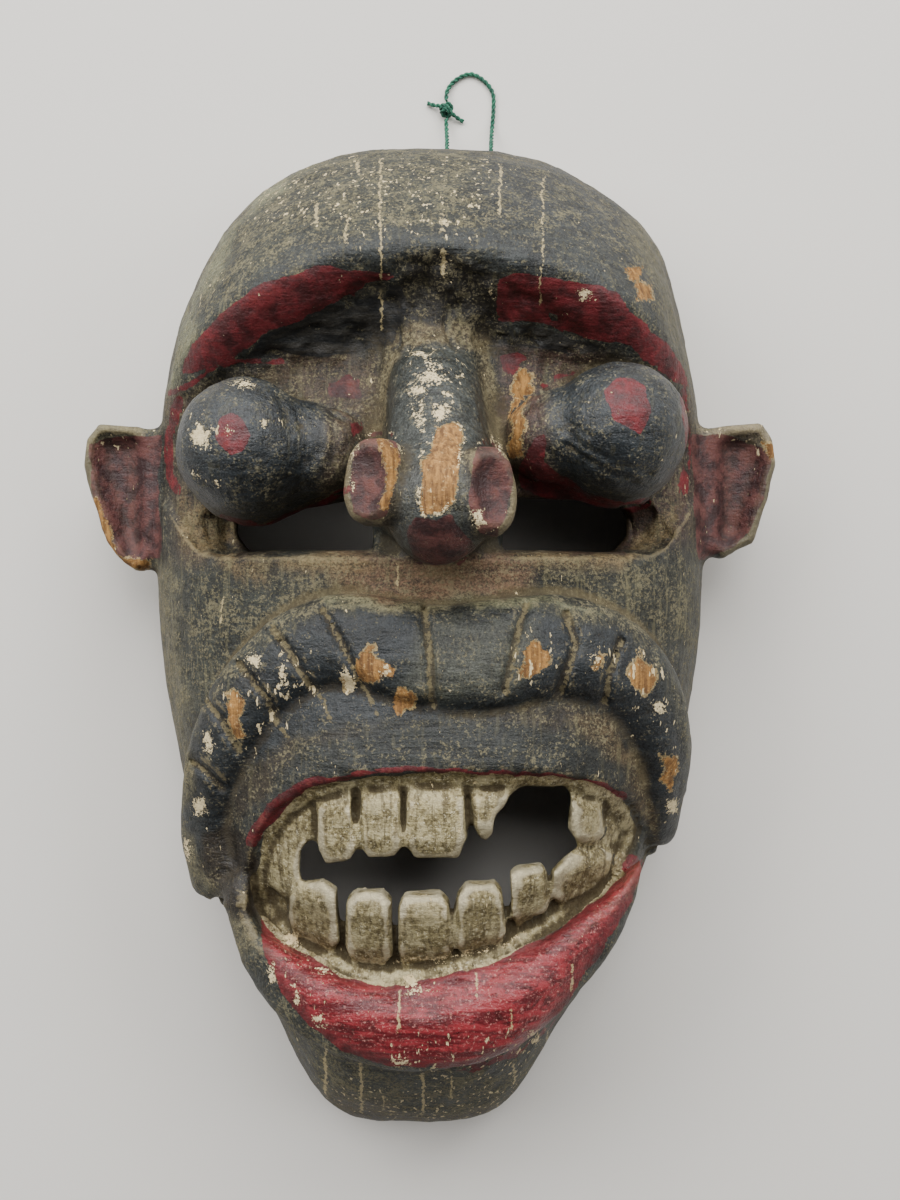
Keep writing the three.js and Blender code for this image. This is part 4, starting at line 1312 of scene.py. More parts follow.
# Outline, softness, colour, strength, and how dusty the place is
SOFT_AREAS = (
    # forehead
    (((250, 120), (450, 100), (640, 120), (670, 300), (560, 270), (450, 240), (330, 260), (190, 350)),
     34, "#2a2c26", 0.9, 0.95),
    (((470, 120), (560, 130), (650, 230), (680, 330), (610, 260), (540, 236), (480, 230)),
     24, "#25282a", 0.8, 0.55),
    # its slate strip over the brow
    (((225, 300), (300, 240), (450, 225), (600, 240), (655, 310), (560, 280), (450, 258), (330, 262)),
     12, "#292c2b", 0.9, 0.3),
    # side edges
    (((150, 420), (185, 300), (235, 200), (295, 150), (315, 160), (250, 215), (200, 305), (166, 430)),
     7, "#6a6a4e", 0.8, 0.5),
    (((610, 150), (680, 250), (722, 420), (694, 420), (668, 320), (630, 215), (595, 160)),
     10, "#4d4936", 0.8, 0.5),
    (((150, 560), (140, 700), (190, 880), (240, 960), (250, 940), (190, 760), (174, 570)),
     10, "#57523d", 0.8, 0.8),
    (((722, 560), (724, 700), (660, 900), (650, 880), (684, 700), (694, 560)), 10, "#45443a", 0.7, 0.5),
    # the ears' upper rims
    (((74, 426), (150, 420), (156, 436), (106, 440), (92, 452), (82, 452)), 4, "#565341", 0.9, 0.9),
    (((696, 420), (744, 416), (784, 440), (786, 470), (772, 462), (758, 446), (700, 438)),
     4, "#6a6152", 0.9, 0.9),
    # redder wood on the left cheek
    (((290, 570), (350, 566), (346, 600), (310, 640), (284, 640)), 16, "#3f2b25", 0.8, 0.6),
    # sockets
    (((160, 400), (290, 355), (380, 350), (385, 500), (250, 560), (180, 560)), 12, "#3d3023", 0.9, 0.6),
    (((500, 345), (600, 350), (690, 400), (690, 540), (560, 560), (500, 520)), 12, "#3f2c23", 0.9, 0.5),
    # between the brows: painted shade in the dark hollow under the brows, then a band of dust at the nose's
    # root
    (((398, 270), (412, 252), (440, 250), (470, 268), (502, 276), (512, 336), (470, 352), (392, 350)),
     6, "#1a1610", 0.95, 0.6),
    (((398, 330), (420, 322), (458, 324), (484, 336), (486, 352), (460, 350), (410, 350), (392, 346)),
     5, "#4c412c", 0.9, 0.9),
    # the nose's flanks
    (((372, 450), (388, 350), (398, 350), (394, 400), (388, 450), (384, 520)), 5, "#544a33", 0.9, 1.0),
    (((474, 350), (486, 350), (502, 420), (508, 455), (488, 440), (480, 400)), 5, "#4f4631", 0.9, 1.0),
    # cheeks
    (((180, 570), (360, 565), (350, 640), (240, 690), (190, 700)), 18, "#2c2e28", 0.9, 0.9),
    (((500, 570), (690, 560), (700, 650), (640, 640), (540, 610)), 18, "#2f2f27", 0.9, 1.0),
    # under the nose
    (((330, 555), (540, 555), (520, 592), (440, 606), (340, 600)), 10, "#6e543d", 0.85, 0.9),
    # the edges of both slits
    (((180, 500), (232, 510), (236, 558), (375, 560), (372, 572), (230, 572), (185, 540)),
     5, "#6b5a3c", 0.9, 0.9),
    (((505, 545), (560, 554), (625, 552), (670, 500), (676, 540), (620, 566), (540, 566)),
     5, "#6b5a3c", 0.9, 0.9),
    # moustache
    (((196, 860), (180, 820), (205, 720), (260, 650), (330, 612), (430, 610), (530, 608), (620, 630),
      (668, 690), (684, 760), (680, 860), (660, 850), (650, 760), (600, 705), (550, 696), (500, 708),
      (436, 722), (342, 722), (287, 732), (240, 780), (222, 820), (214, 860)), 4, "#1f2325", 0.95, 0.05),
    # the moustache's middle: lighter with dust, and a painted sheen on its upper side
    (((420, 616), (536, 616), (520, 690), (440, 704), (400, 690)), 14, "#3d3e35", 0.8, 0.4),
    # under the moustache
    (((226, 826), (246, 780), (287, 736), (342, 726), (436, 726), (500, 714), (551, 702), (606, 712),
      (648, 770), (660, 850), (640, 800), (600, 740), (520, 724), (400, 728), (310, 742), (262, 800)),
     5, "#2a2218", 0.85, 0.5),
    (((560, 712), (606, 716), (650, 780), (656, 850), (634, 800), (600, 752)), 5, "#4a3d29", 0.85, 0.9),
    # strip over the moustache: dust, and a painted highlight along the moustache's top
    (((322, 592), (390, 600), (450, 598), (520, 596), (600, 612), (560, 604), (450, 608), (330, 606)),
     5, "#7b7a5a", 0.6, 0.9),
    # the moustache's cut end
    (((200, 836), (226, 822), (250, 840), (264, 880), (262, 916), (226, 916), (200, 880)),
     6, "#211a11", 0.95, 0.12),
    # upper lip: dark paint, darkened further as painted shade under the moustache
    (((250, 830), (300, 740), (400, 722), (520, 722), (600, 745), (640, 800), (520, 770), (322, 776)),
     8, "#20221f", 0.9, 0.35),
    # chin
    (((280, 1010), (400, 1075), (520, 1070), (620, 960), (560, 1130), (440, 1160), (330, 1110)),
     16, "#34362e", 0.9, 1.0),
    (((330, 1088), (430, 1120), (530, 1100), (520, 1150), (340, 1150)), 10, "#453b29", 0.7, 0.6),
)

RED_AREAS = (
    # brow bands
    ((180, 374), (190, 347), (207, 331), (227, 308), (249, 291), (272, 282), (301, 274), (316, 266),
     (330, 263), (345, 270), (370, 274), (395, 274), (395, 278), (380, 287), (362, 297), (334, 303),
     (318, 312), (288, 324), (267, 331), (253, 343), (238, 350), (230, 362)),
    ((498, 281), (519, 273), (541, 276), (563, 278), (591, 284), (615, 293), (633, 310), (652, 329),
     (670, 345), (685, 369), (689, 386), (669, 375), (652, 362), (630, 347), (602, 342), (565, 332),
     (530, 321), (500, 320)),
    # flakes in the sockets
    ((334, 380), (346, 372), (352, 386), (344, 394), (330, 400), (326, 392)),
    ((348, 424), (360, 422), (362, 432), (352, 438)),
    ((498, 356), (520, 352), (530, 360), (512, 376), (502, 372)),
    # crescent round the right eye
    ((519, 477), (522, 452), (532, 436), (544, 432), (546, 444), (544, 462), (560, 476), (590, 492),
     (623, 505), (655, 496), (646, 510), (610, 516), (575, 508), (545, 496), (526, 490)),
    # pupils
    ((215, 433), (219, 417), (232, 411), (245, 418), (250, 434), (245, 449), (233, 454), (220, 448)),
    ((606, 389), (619, 376), (635, 375), (645, 387), (652, 412), (649, 422), (640, 435), (627, 426),
     (611, 418)),
    # lower lip
    ((259, 912), (300, 945), (345, 975), (391, 984), (431, 975), (488, 961), (546, 938), (590, 905),
     (612, 878), (615, 849), (646, 861), (632, 901), (589, 970), (551, 1030), (517, 1056), (474, 1070),
     (391, 1067), (345, 1053), (305, 1024), (282, 993), (262, 950)),
)

# Red lines drawn with a brush: places along them, and half width
RED_LINES = (
    (((252, 842), (266, 818), (283, 799), (300, 789), (322, 783)), 6.5),
    (((322, 783), (354, 773), (398, 770), (450, 773), (523, 773)), 2.6),
    (((523, 773), (569, 780), (604, 787), (622, 797)), 3.8),
    (((223, 519), (259, 526), (279, 522), (322, 506), (347, 488)), 3.2),
    (((169, 394), (198, 377), (236, 360), (284, 360)), 2.4),
    (((178, 400), (167, 440), (168, 470), (178, 491)), 4.5),
    (((541, 385), (556, 375), (572, 371)), 2.6),
    (((684, 391), (689, 440), (684, 493)), 3.4),
)

SILVER_AREAS = (
    MOUTH_EDGE,
    (((257, 880), (262, 906), *MOUTH_EDGE[:13:-1], (616, 872)), 7.0),
)

MAUVE_AREAS = (
    # nostrils
    ((353, 452), (361, 440), (374, 434), (392, 434), (399, 444), (400, 466), (394, 497), (388, 516),
     (373, 522), (354, 512), (348, 490)),
    ((476, 444), (485, 436), (500, 447), (514, 464), (516, 483), (508, 508), (497, 538), (480, 530),
     (468, 500)),
    # ears
    ((88, 443), (104, 438), (160, 436), (160, 560), (112, 562), (94, 520)),
    ((690, 436), (736, 436), (762, 446), (771, 458), (768, 486), (758, 514), (738, 546), (700, 560)),
    # under the nose's tip
    ((407, 534), (418, 516), (434, 522), (450, 516), (476, 548), (462, 566), (416, 562)),
    # inner eye corners
    ((322, 384), (356, 378), (360, 398), (330, 402)),
)

BARE_AREAS = (
    # nose
    ((433, 427), (457, 427), (462, 437), (457, 466), (449, 506), (442, 514), (426, 516), (421, 509),
     (422, 475), (425, 461), (433, 458)),
    # left nostril's inner edge
    ((378, 440), (386, 441), (397, 448), (398, 466), (394, 492), (388, 508), (382, 505), (387, 490),
     (386, 470), (380, 456)),
    # moustache
    ((392, 702), (396, 692), (403, 688), (408, 692), (414, 696), (413, 706), (406, 710), (402, 717),
     (395, 713)),
    ((354, 668), (358, 652), (364, 643), (372, 641), (378, 646), (372, 652), (382, 662), (390, 668),
     (390, 676), (380, 674), (374, 682), (362, 682)),
    ((340, 680), (346, 674), (354, 680), (350, 692), (343, 694)),
    ((660, 753), (666, 756), (676, 754), (675, 768), (670, 776), (668, 788), (661, 780), (663, 768)),
    ((626, 672), (630, 664), (636, 660), (638, 648), (642, 660), (650, 666), (656, 674), (654, 688),
     (647, 696), (640, 690), (632, 686)),
    ((524, 654), (530, 640), (536, 642), (538, 650), (546, 652), (552, 660), (548, 668), (540, 670),
     (532, 678), (522, 676), (520, 668), (528, 664)),
    ((590, 664), (598, 655), (604, 656), (602, 664), (594, 668)),
    ((226, 694), (234, 688), (242, 700), (240, 722), (246, 736), (236, 738), (230, 722)),
    # right side chips
    ((626, 266), (639, 268), (638, 280), (628, 280)),
    ((634, 280), (652, 286), (652, 299), (638, 298)),
    # crumbled wood left of the right eye
    ((518, 372), (526, 368), (534, 376), (532, 394), (524, 402), (520, 412), (523, 424), (518, 436),
     (520, 452), (512, 458), (508, 446), (512, 428), (508, 416), (513, 396), (511, 384)),
    # ears' worn rims
    ((86, 500), (96, 498), (120, 556), (150, 562), (148, 572), (108, 566)),
    ((762, 440), (772, 440), (778, 452), (770, 456)),
)

CREAM_AREAS = (
    ((190, 432), (200, 420), (206, 430), (215, 428), (208, 440), (212, 450), (200, 446), (194, 450)),
    ((194, 470), (198, 468), (200, 478), (195, 480)),
    ((213, 480), (220, 481), (219, 486), (213, 486)),
    ((224, 427), (232, 427), (231, 433), (225, 434)),
    ((261, 420), (267, 420), (267, 426), (261, 426)),
    ((230, 383), (244, 380), (257, 385), (252, 389), (238, 387)),
    ((406, 350), (420, 348), (433, 352), (428, 357), (410, 356)),
    ((423, 362), (434, 360), (442, 366), (432, 371)),
    ((414, 375), (430, 372), (446, 378), (436, 383), (418, 382)),
    ((409, 386), (420, 384), (427, 391), (418, 398), (411, 394)),
    ((419, 400), (424, 400), (425, 428), (420, 426)),
    ((433, 404), (448, 403), (449, 414), (441, 424), (434, 418)),
    ((458, 373), (464, 373), (464, 379), (458, 379)),
    ((441, 248), (447, 248), (447, 262), (445, 277), (441, 277)),
    ((441, 217), (450, 216), (451, 225), (442, 226)),
    ((489, 288), (492, 288), (492, 298), (489, 298)),
    ((578, 290), (586, 288), (592, 295), (586, 302), (578, 300)),
    ((473, 508), (482, 510), (485, 524), (478, 529), (473, 522)),
    ((244, 655), (258, 653), (263, 664), (250, 668)),
    ((278, 666), (285, 665), (287, 686), (280, 688)),
    ((339, 672), (350, 669), (357, 688), (346, 695)),
    ((379, 666), (388, 665), (389, 677), (381, 678)),
    ((203, 733), (212, 732), (213, 752), (205, 754)),
    ((192, 798), (205, 797), (207, 814), (195, 816)),
    ((184, 838), (190, 837), (190, 860), (185, 861)),
    ((590, 655), (600, 654), (601, 666), (592, 667)),
    ((653, 702), (665, 701), (666, 713), (655, 714)),
    ((666, 800), (678, 799), (679, 813), (668, 814)),
    ((293, 984), (299, 984), (300, 1003), (295, 1004)),
    ((313, 1016), (322, 1015), (325, 1026), (315, 1027)),
    ((267, 965), (274, 964), (277, 982), (270, 984)),
    ((283, 933), (296, 932), (299, 946), (286, 947)),
    ((316, 968), (328, 967), (330, 974), (318, 975)),
    ((402, 976), (418, 975), (419, 986), (405, 987)),
    ((391, 1060), (409, 1059), (411, 1066), (394, 1067)),
    ((529, 1031), (538, 1030), (540, 1043), (531, 1044)),
)

BLACK_AREAS = (
    # under the brows
    ((240, 362), (265, 334), (330, 306), (380, 290), (402, 284), (408, 300), (396, 344), (330, 358),
     (290, 352)),
    ((518, 323), (602, 346), (596, 353), (560, 352), (516, 346)),
    # lip spots
    ((448, 1016), (462, 1013), (480, 1018), (476, 1026), (455, 1027)),
    ((488, 1015), (498, 1013), (506, 1017), (498, 1021)),
    ((517, 1000), (524, 998), (526, 1005), (519, 1007)),
    ((534, 978), (546, 975), (557, 979), (548, 987), (536, 985)),
    ((422, 997), (440, 995), (457, 999), (444, 1004), (426, 1003)),
)

LOWER_TEETH_FRONTS = (
    (288, 892), (340, 896), (400, 908), (450, 906), (500, 896), (548, 878), (600, 862), (606, 884),
    (548, 914), (500, 944), (450, 958), (396, 960), (340, 950), (292, 930),
)

CREAM_LINES = (
    (((372, 434), (361, 440), (354, 451), (351, 470), (350, 489)), 1.4),
    (((388, 434), (398, 440), (402, 452)), 1.2),
    (((476, 446), (485, 437), (494, 441), (504, 450)), 1.2),
    (((419, 486), (421, 508), (426, 516), (442, 515), (449, 506)), 1.5),
    (((433, 427), (428, 440), (424, 458)), 1.1),
    (((457, 427), (463, 438), (459, 466)), 1.0),
    (((412, 404), (418, 420), (423, 430)), 1.6),
    (((410, 392), (428, 390)), 1.6),
    (((390, 962), (440, 960), (486, 951), (524, 934)), 1.0),
    (((404, 993), (420, 990), (432, 993)), 1.2),
)

# Where small flecks of bare ground crowd together
FLECK_AREAS = (
    (((250, 170), (330, 155), (450, 150), (520, 165), (470, 235), (380, 240), (300, 225), (240, 240)), 20),
    (((185, 250), (215, 230), (225, 290), (190, 320)), 14),
    (((405, 345), (470, 345), (462, 400), (410, 400)), 10),
    (((185, 410), (225, 415), (225, 455), (190, 455)), 8),
    (((205, 690), (300, 640), (360, 640), (300, 720), (240, 760)), 18),
    (((500, 630), (560, 630), (560, 690), (510, 690)), 12),
    (((590, 640), (670, 650), (680, 780), (640, 720)), 14),
    (((270, 930), (330, 960), (330, 1030), (290, 1010)), 10),
    (((360, 1040), (560, 1030), (520, 1070), (400, 1072)), 10),
    (((700, 425), (775, 425), (775, 470), (710, 440)), 8),
    (((85, 435), (150, 432), (150, 450), (95, 460)), 8),
    (((440, 395), (460, 395), (460, 430), (440, 430)), 6),
    (((300, 1070), (420, 1080), (560, 1040), (520, 1140), (360, 1140)), 40),
)

# Pale runs that go straight down: across, from, to and half width, in picture pixels
DRIPS = (
    (380.5, 157, 332, 1.5),
    (543.0, 177, 268, 1.1),
    (540.0, 264, 304, 1.0),
    (441.0, 214, 232, 2.2),
    (316.0, 204, 224, 1.8),
    (346.0, 216, 242, 1.4),
    (357.0, 158, 174, 1.8),
    (500.0, 166, 214, 1.5),
    (443.0, 248, 276, 2.4),
    (325.5, 1046, 1094, 1.7),
    (361.5, 1062, 1114, 1.8),
    (422.5, 1070, 1114, 1.9),
    (384.0, 1094, 1110, 1.4),
    (452.0, 1074, 1098, 1.2),
    (514.5, 1060, 1083, 1.5),
    (547.0, 1030, 1062, 1.3),
    (222.0, 598, 624, 1.3),
    (398.0, 564, 592, 1.3),
    (399.0, 990, 1030, 1.4),
    (475.5, 972, 996, 1.4),
    (510.5, 1008, 1030, 1.3),
    (572.5, 962, 993, 1.3),
)


def hand_drawn(px, py, seed, wander):
    """Picture places moved a little to and fro, so that painted edges aren't ruled."""
    along = layered_noise(px, py, 0 * px, 24.0, seed, 3)
    across = layered_noise(px, py, 0 * px, 24.0, seed + 9, 3)
    return px + wander * along, py + wander * across


def deepest(px, py, shapes):
    """How deep places are in the nearest shape: an outline, or a line with its half width."""
    depth = np.full(len(px), -99.0)
    for shape in shapes:
        line, half_width = shape if isinstance(shape[1], float) else (shape, None)
        spots = np.array(line, float)
        low, high = spots.min(axis=0) - SHAPE_REACH, spots.max(axis=0) + SHAPE_REACH
        near = (px > low[0]) & (px < high[0]) & (py > low[1]) & (py < high[1])
        if half_width is None:
            here = depth_in_outline(px[near], py[near], line)
        else:
            here = half_width - distance_to_line(px[near], py[near], line)
        depth[near] = np.maximum(depth[near], here)
    return depth


SHAPE_REACH = 30  # how far round a shape its depth is worked out, in pixels
EDGE_PIXELS = 14.0  # how far from an edge its field still changes
PLAIN_DUST = 0.35
HIDDEN_DUST = 0.6
PLAIN_CROWD = 0.12  # of flecks, away from where they crowd
LIP_SHADING = 16.0  # pixels over which the lip's own red comes in
TARNISH_EDGE = 8.0
GROOVE_PAINT = (2.5, 10.0)  # half width and softness of the dust in a groove, in pixels
RELIEF_SHOWN = 1.4

# Which noise moves the places of each paint, and by how many pixels
GROUND_WANDER = (71, 6.0)
PAINT_WANDER = (5, 3.0)
GROOVE_WANDER = (43, 2.6)


def edge_field(depth):
    """0.5 on an edge, more inside it and less outside."""
    return clamp(0.5 + depth / (2 * EDGE_PIXELS))


def tint(colour, share, wanted):
    colour += share[:, None] * (np.array(wanted) - colour)


def ground_colour(px, py):
    """The colour of the ground and how dusty it is."""
    x, y = hand_drawn(px, py, *GROUND_WANDER)
    colour = np.tile(np.array(CHARCOAL), (len(px), 1))
    dust = np.full(len(px), PLAIN_DUST)
    for outline, soft, code, strength, dusty in SOFT_AREAS:
        share = strength * smooth_step(depth_in_outline(x, y, outline), -soft, soft)
        tint(colour, share, linear(code))
        dust += share * (dusty - dust)
    return colour, dust


EYE_GROUND = linear("#24282a")
# the nose's own dark paint, lightened as a painted sheen along its ridge
NOSE_GROUND_AND_SHEEN = linear("#3a3d3a")
NOSTRIL_GROUND = linear("#332c20")
NECK_GROUND = linear("#352c20")
NOSE_PAINT_START = (338, 354)  # how far down the picture the nose's own ground begins


def painted_forms(points, colour, dust):
    """Eyes and nose have their own ground, wherever they stand in front of another; the nose's is its dark
    paint lightened as a painted sheen.
    """
    places = Places(points)
    shine = np.zeros(len(points))
    for eye in EYES:
        ball, stem = on_plain_front(eye["ball"]), on_plain_front(eye["stem"])
        near = round_cone(places, ball, stem, eye["radius"], EYE_STEM_RADIUS)
        along = (points - ball) @ (stem - ball) / np.sum((stem - ball) ** 2)
        neck = smooth_step(along, 0.8, 1.5)
        share = (1 - smooth_step(near, 0.4, 1.6)) * (1 - 0.85 * neck)
        body = 1 - smooth_step(near, 0.4, 1.6)
        tint(colour, body, NECK_GROUND)
        tint(colour, share, EYE_GROUND)
        dust += body * (0.3 + 0.4 * neck - dust)
        shine = np.maximum(shine, share)
    for place in NOSTRILS:
        share = 1 - smooth_step(round_cone(places, place, place - (0, 0, 30), 15, 14), 0.0, 3.0)
        tint(colour, share, NOSTRIL_GROUND)
        dust += share * (0.5 - dust)
    near = round_cone(places, NOSE_ROOT, NOSE_TIP, NOSE_ROOT_RADIUS, NOSE_TIP_RADIUS)
    share = 1 - smooth_step(near, -0.5, 2.5)
    py = picture_place(*points.T)[1]
    share *= smooth_step(py, *NOSE_PAINT_START)
    # painted sheen: the nose's lighter ground
    tint(colour, share, NOSE_GROUND_AND_SHEEN)
    dust += share * (0.12 - dust)
    shine = np.maximum(shine, share)
    return shine


def store(mesh, name, values):
    attribute = mesh.attributes.new(name, "FLOAT", "POINT")
    attribute.data.foreach_set("value", np.ascontiguousarray(values, np.float32))


def paint(mesh, points, hollow, seen, relief):
    """Everything the finish needs to know of each place: its ground, paints, wear and hollows."""
    px, py = picture_place(*points.T)
    front = seen & ~hollow
    colour, dust = ground_colour(px, py)
    colour[~seen] = HIDDEN_GROUND
    dust[~seen] = HIDDEN_DUST
    shine = painted_forms(points, colour, dust)
    ground = np.ones((len(points), 4), np.float32)
    ground[:, :3] = colour
    colours = mesh.attributes.new("ground", "FLOAT_COLOR", "POINT")
    colours.data.foreach_set("color", ground.ravel())
    x, y = hand_drawn(px, py, *PAINT_WANDER)
    fields = {
        "red": deepest(x, y, RED_AREAS + RED_LINES),
        "silver": deepest(x, y, SILVER_AREAS),
        "mauve": deepest(x, y, MAUVE_AREAS),
        "bare": deepest(x, y, BARE_AREAS),
        "cream": np.maximum(deepest(px, py, CREAM_AREAS), deepest(x, y, CREAM_LINES)),
        "black": deepest(x, y, BLACK_AREAS),
    }
    for name, depth in fields.items():
        store(mesh, name, np.where(front, edge_field(depth), 0.0))
    store(mesh, "front", front.astype(float))
    crowd = np.full(len(points), PLAIN_CROWD)
    for outline, soft in FLECK_AREAS:
        crowd = np.maximum(crowd, smooth_step(depth_in_outline(px, py, outline), -soft, soft))
    store(mesh, "crowd", crowd)
    half_width, soft = GROOVE_PAINT
    grooves = [(line, half_width) for line in GROOVES]
    groove = deepest(*hand_drawn(px, py, *GROOVE_WANDER), grooves)
    store(mesh, "groove", np.where(front, clamp(0.5 + groove / soft), 0.0))
    store(mesh, "dust", dust)
    lip = smooth_step(depth_in_outline(px, py, RED_AREAS[-1]), 0, LIP_SHADING) * front
    store(mesh, "lip", lip)
    store(mesh, "shine", np.maximum(shine, 2.0 * lip))
    fronts = depth_in_outline(px, py, LOWER_TEETH_FRONTS)
    tarnish = smooth_step(fronts, -TARNISH_EDGE, TARNISH_EDGE)
    store(mesh, "tarnish", tarnish)
    store(mesh, "unpainted", hollow.astype(float))
    store(mesh, "ridge", clamp(relief * RELIEF_SHOWN))
    store(mesh, "crease", clamp(-relief * RELIEF_SHOWN))


def depth_in_drips(finish, wander):
    """How deep a place is in the nearest drip, in picture pixels, worked out from its own coordinates."""
    x, y, z = add_node(finish.tree, "ShaderNodeSeparateXYZ", {0: finish.place}).outputs
    eye_x, eye_y, eye_z = (value * MM for value in PICTURE_EYE)
    scale = finish.math("DIVIDE", PICTURE_FOCUS, finish.less(eye_z, z))
    across = finish.add(finish.times(finish.less(x, eye_x), scale), PICTURE_SIZE[0] / 2)
    across = finish.add(across, wander)
    down = finish.less(PICTURE_SIZE[1] / 2, finish.times(finish.less(y, eye_y), scale))
    depth = -9.0
    for place, start, stop, half_width in DRIPS:
        beside = finish.less(half_width, finish.math("ABSOLUTE", finish.less(across, place)))
        beyond = finish.math("ABSOLUTE", finish.less(down, (start + stop) / 2))
        within = finish.math("MULTIPLY_ADD", beyond, -0.25, (stop - start) / 8)
        depth = finish.most(depth, finish.math("MINIMUM", beside, within))
    return depth


def painted_wood_finish():
    finish = Finish("worn_painted_wood")
    add, times, step, mix = finish.add, finish.times, finish.step, finish.mix
    noise, centred, attribute = finish.noise, finish.centred, finish.attribute
    ridge, crease = attribute("ridge"), attribute("crease")
    dust, crowd = attribute("dust"), attribute("crowd")
    blotch = noise(55, 4, 0.6)
    patch = noise(160, 4, 0.65)
    grit = noise(1500, 3, 0.7)
    mottle = noise(620, 4, 0.75)
    streak = noise(520, 3, 0.6, finish.stretched((1.0, 0.06, 1.0)))
    stroke = noise(420, 4, 0.6, finish.stretched((0.16, 1.0, 1.0)))
    grain = noise(700, 4, 0.65, finish.stretched((1.0, 0.06, 1.0)), 0.3)
    fleck = noise(560, 3, 0.6, finish.stretched((1.0, 0.3, 1.0)))

    # the ground: uneven, dusty and stained
    tone = add(add(centred(blotch, 1.4), centred(stroke, 2.2)), centred(grit, 4.0))
    tone = finish.most(add(0.86, tone), 0.15)
    colour = mix(1.0, attribute("ground", "Color"), finish.grey(tone), "MULTIPLY")
    speckle = noise(1000, 3, 0.75)
    reach = add(times(dust, 0.14), centred(patch, 0.6))
    specks = step(add(speckle, reach), 0.6, 0.74)
    colour = mix(times(specks, 0.48), colour, "#8f8668")
    blots = step(noise(330, 3, 0.7), 0.54, 0.66)
    colour = mix(times(blots, 0.5), colour, "#12130e")
    runs = times(step(streak, 0.54, 0.66), times(dust, 0.34))
    colour = mix(runs, colour, "#7d7655")

    def worn_edge(name, jitter=0.05, soft=0.012):
        wear = add(centred(blotch, jitter * 2), centred(patch, jitter * 2))
        wear = add(wear, add(centred(grit, jitter), centred(mottle, jitter * 3)))
        return step(add(attribute(name), wear), 0.5 - soft, 0.5 + soft)

    # paints
    black = mix(step(stroke, 0.4, 0.65), "#111213", "#2a2722")
    colour = mix(times(worn_edge("black"), 0.9), colour, black)
    red = mix(step(patch, 0.36, 0.66), "#3f1214", "#6b1b21")
    red = mix(step(stroke, 0.5, 0.68, 0.5), red, "#2e1214")
    lip_red = mix(step(stroke, 0.4, 0.6), "#54151a", "#872b30")
    lip_red = mix(times(blots, 0.6), lip_red, "#2d0e0e")
    # painted glints: pale pink specks on the lip's red
    lip_red = mix(step(speckle, 0.55, 0.68, 0.55), lip_red, "#c48a80")
    red_part = worn_edge("red")
    colour = mix(times(red_part, 0.93), colour, mix(attribute("lip"), red, lip_red))
    mauve = mix(step(patch, 0.38, 0.64), "#2f1818", "#5e3632")
    mauve = mix(step(mottle, 0.58, 0.74, 0.35), mauve, "#7d6250")
    mauve_part = worn_edge("mauve")
    colour = mix(times(mauve_part, 0.92), colour, mauve)
    silver = mix(step(mottle, 0.4, 0.6), "#62573a", "#a0946c")
    silver = mix(step(patch, 0.46, 0.6, 0.6), silver, "#b9ae88")
    silver = mix(step(streak, 0.52, 0.62, 0.6), silver, "#453a25")
    # painted glints: small bright specks on the silver
    silver = mix(step(speckle, 0.56, 0.66, 0.6), silver, "#d6ceb0")
    silver = mix(times(blots, 0.45), silver, "#54462a")
    silver = mix(times(attribute("tarnish"), 0.36), silver, "#4f462e")
    # painted highlight: the silver lighter on the teeth's ridges and bevels
    silver = mix(step(ridge, 0.7, 1.0, 0.42), silver, "#dcd5bc")
    silver_part = worn_edge("silver", 0.03)
    colour = mix(times(silver_part, 0.92), colour, silver)

    # dust in creases and grooves, with painted shade in the gaps of the silver teeth, and rubbed ridges
    settled_and_shaded = step(add(crease, centred(mottle, 1.2)), 0.3, 0.8)
    dusted = step(add(attribute("groove"), centred(mottle, 1.3)), 0.46, 0.6)
    clean = finish.less(1.0, times(finish.most(mauve_part, red_part), 0.8))
    settled_and_shaded = finish.most(times(settled_and_shaded, clean), dusted)
    dust_and_shade_colour = mix(dust, "#2a2318", "#5d533b")
    # on the silver, creases are dark brown: grime and painted shade between the teeth
    dust_and_shade_colour = mix(silver_part, dust_and_shade_colour, "#3a301e")
    dust_and_shade_colour = mix(dusted, dust_and_shade_colour, "#786c4c")
    colour = mix(times(settled_and_shaded, add(0.62, times(silver_part, 0.25))), colour, dust_and_shade_colour)
    rubbed = add(ridge, add(centred(mottle, 1.2), centred(patch, 0.8)))
    rubbed = times(clean, step(rubbed, 0.6, 0.85))
    colour = mix(times(rubbed, 0.28), colour, "#9a8b64")

    # bare wood, chips, flecks and drips
    raw = mix(step(grain, 0.35, 0.68), "#5e4022", "#a1763f")
    raw = mix(step(mottle, 0.54, 0.72, 0.5), raw, "#d8b67c")
    bare_part = worn_edge("bare", 0.16)
    bare_rim = step(add(attribute("bare"), centred(mottle, 0.6)), 0.44, 0.48, 0.6)
    colour = mix(bare_part, mix(bare_rim, colour, "#b39a66"), raw)
    cream = mix(grit, "#a58d5e", "#efe0b6")
    cream_part = add(attribute("cream"), add(centred(mottle, 0.9), centred(grit, 0.5)))
    cream_part = step(cream_part, 0.53, 0.56)
    colour = mix(cream_part, colour, cream)
    flecks = step(add(fleck, times(crowd, 0.1)), 0.715, 0.74)
    colour = mix(times(flecks, 0.9), colour, cream)
    drip = add(depth_in_drips(finish, centred(patch, 11.0)), centred(mottle, 9.0))
    drip = times(step(drip, 0.2, 0.9), attribute("front"))
    colour = mix(times(drip, 0.72), colour, "#b5a478")
    hollow_wood = mix(step(grain, 0.3, 0.75), "#2b221a", "#54432f")
    colour = mix(attribute("unpainted"), colour, hollow_wood)

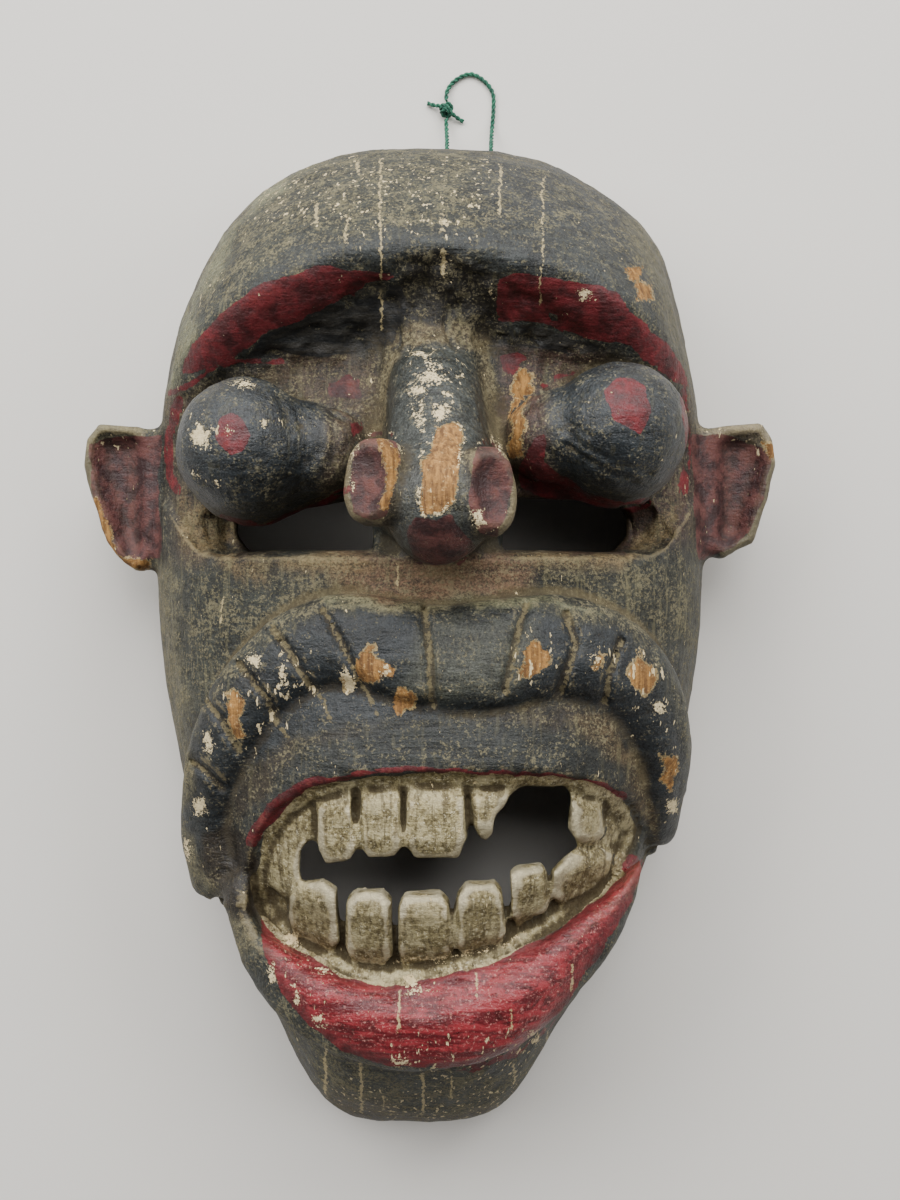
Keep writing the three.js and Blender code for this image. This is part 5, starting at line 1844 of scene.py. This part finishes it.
    height = add(times(grain, 0.35), times(grit, 0.25))
    height = add(add(height, times(stroke, 0.5)), times(patch, 0.8))
    gone = finish.most(cream_part, flecks, bare_part)
    height = finish.less(height, times(gone, 0.5))
    dull = finish.most(specks, settled_and_shaded, gone)
    polish = add(add(0.46, times(dust, 0.25)), centred(patch, 0.3))
    polish = finish.less(polish, times(attribute("shine"), 0.12))
    return finish.finish({
        "Base Color": colour,
        "Roughness": add(times(dull, 0.35), polish),
        "Metallic": times(silver_part, 0.45),
        "Specular IOR Level": 0.42,
        "Normal": finish.bump(height, 0.0012, 0.8),
    })


RELIEF_LAYERS = ((3, 1.0), (9, 0.35))  # how often the field is blurred, and how much that counts


def make_mask():
    field = carve()
    points, faces = surface_net(field)
    mesh = mesh_from("carved", points, faces)
    mask = thinned(mesh, "carved_mask")
    mesh = mask.data
    points = triples_of(mesh.vertices, "co") / MM
    normals = triples_of(mesh.vertex_normals, "vector")
    hollow = in_hollow(points)
    relief = sum(share * sample(softened(field, passes), points) for passes, share in RELIEF_LAYERS)
    points = points - hand_work(points, hollow)[:, None] * normals
    mesh.vertices.foreach_set("co", (points * MM).astype(np.float32).ravel())
    paint(mesh, points, hollow, open_to_eye(field, points), relief)
    mesh.materials.clear()
    mesh.materials.append(painted_wood_finish())
    mesh.update()
    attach(mask, "root")
    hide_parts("mask")


make_mask()


# Floor and light

FLOOR_SIZE = 6.0


def make_floor():
    mesh = bpy.data.meshes.new("floor")
    half = FLOOR_SIZE / 2
    mesh.from_pydata([(-half, -half, 0), (half, -half, 0), (half, half, 0), (-half, half, 0)], [],
                     [(0, 1, 2, 3)])
    colour = linear("#d6d2cb")
    mesh.materials.append(Finish("pale_floor").finish({"Base Color": colour, "Roughness": 0.9}))
    put_in_scene("floor", mesh)


def soft_light(name, place, aim, size, watts):
    data = bpy.data.lights.new(name, "AREA")
    data.shape = "RECTANGLE"
    data.size, data.size_y = size
    data.energy = watts
    light = put_in_scene(name, data)
    light.location = place
    light.rotation_euler = (Vector(aim) - Vector(place)).to_track_quat("-Z", "Y").to_euler()


def make_light():
    middle = (0.0, 0.0, 0.06)
    soft_light("from_the_crown", (-0.1, 1.3, 1.15), middle, (2.8, 1.0), 66.0)
    soft_light("from_the_left", (-1.3, 0.5, 1.2), middle, (1.0, 1.0), 17.0)
    soft_light("from_the_right", (1.4, 0.3, 1.2), middle, (1.0, 1.0), 13.0)
    soft_light("from_the_camera", (0.15, 0.85, 1.9), middle, (0.8, 0.8), 14.0)
    world = bpy.context.scene.world or bpy.data.worlds.new("room")
    bpy.context.scene.world = world
    world.use_nodes = True
    background = world.node_tree.nodes["Background"]
    background.inputs["Color"].default_value = (0.95, 0.95, 1.0, 1.0)
    background.inputs["Strength"].default_value = 0.13


make_floor()
make_light()
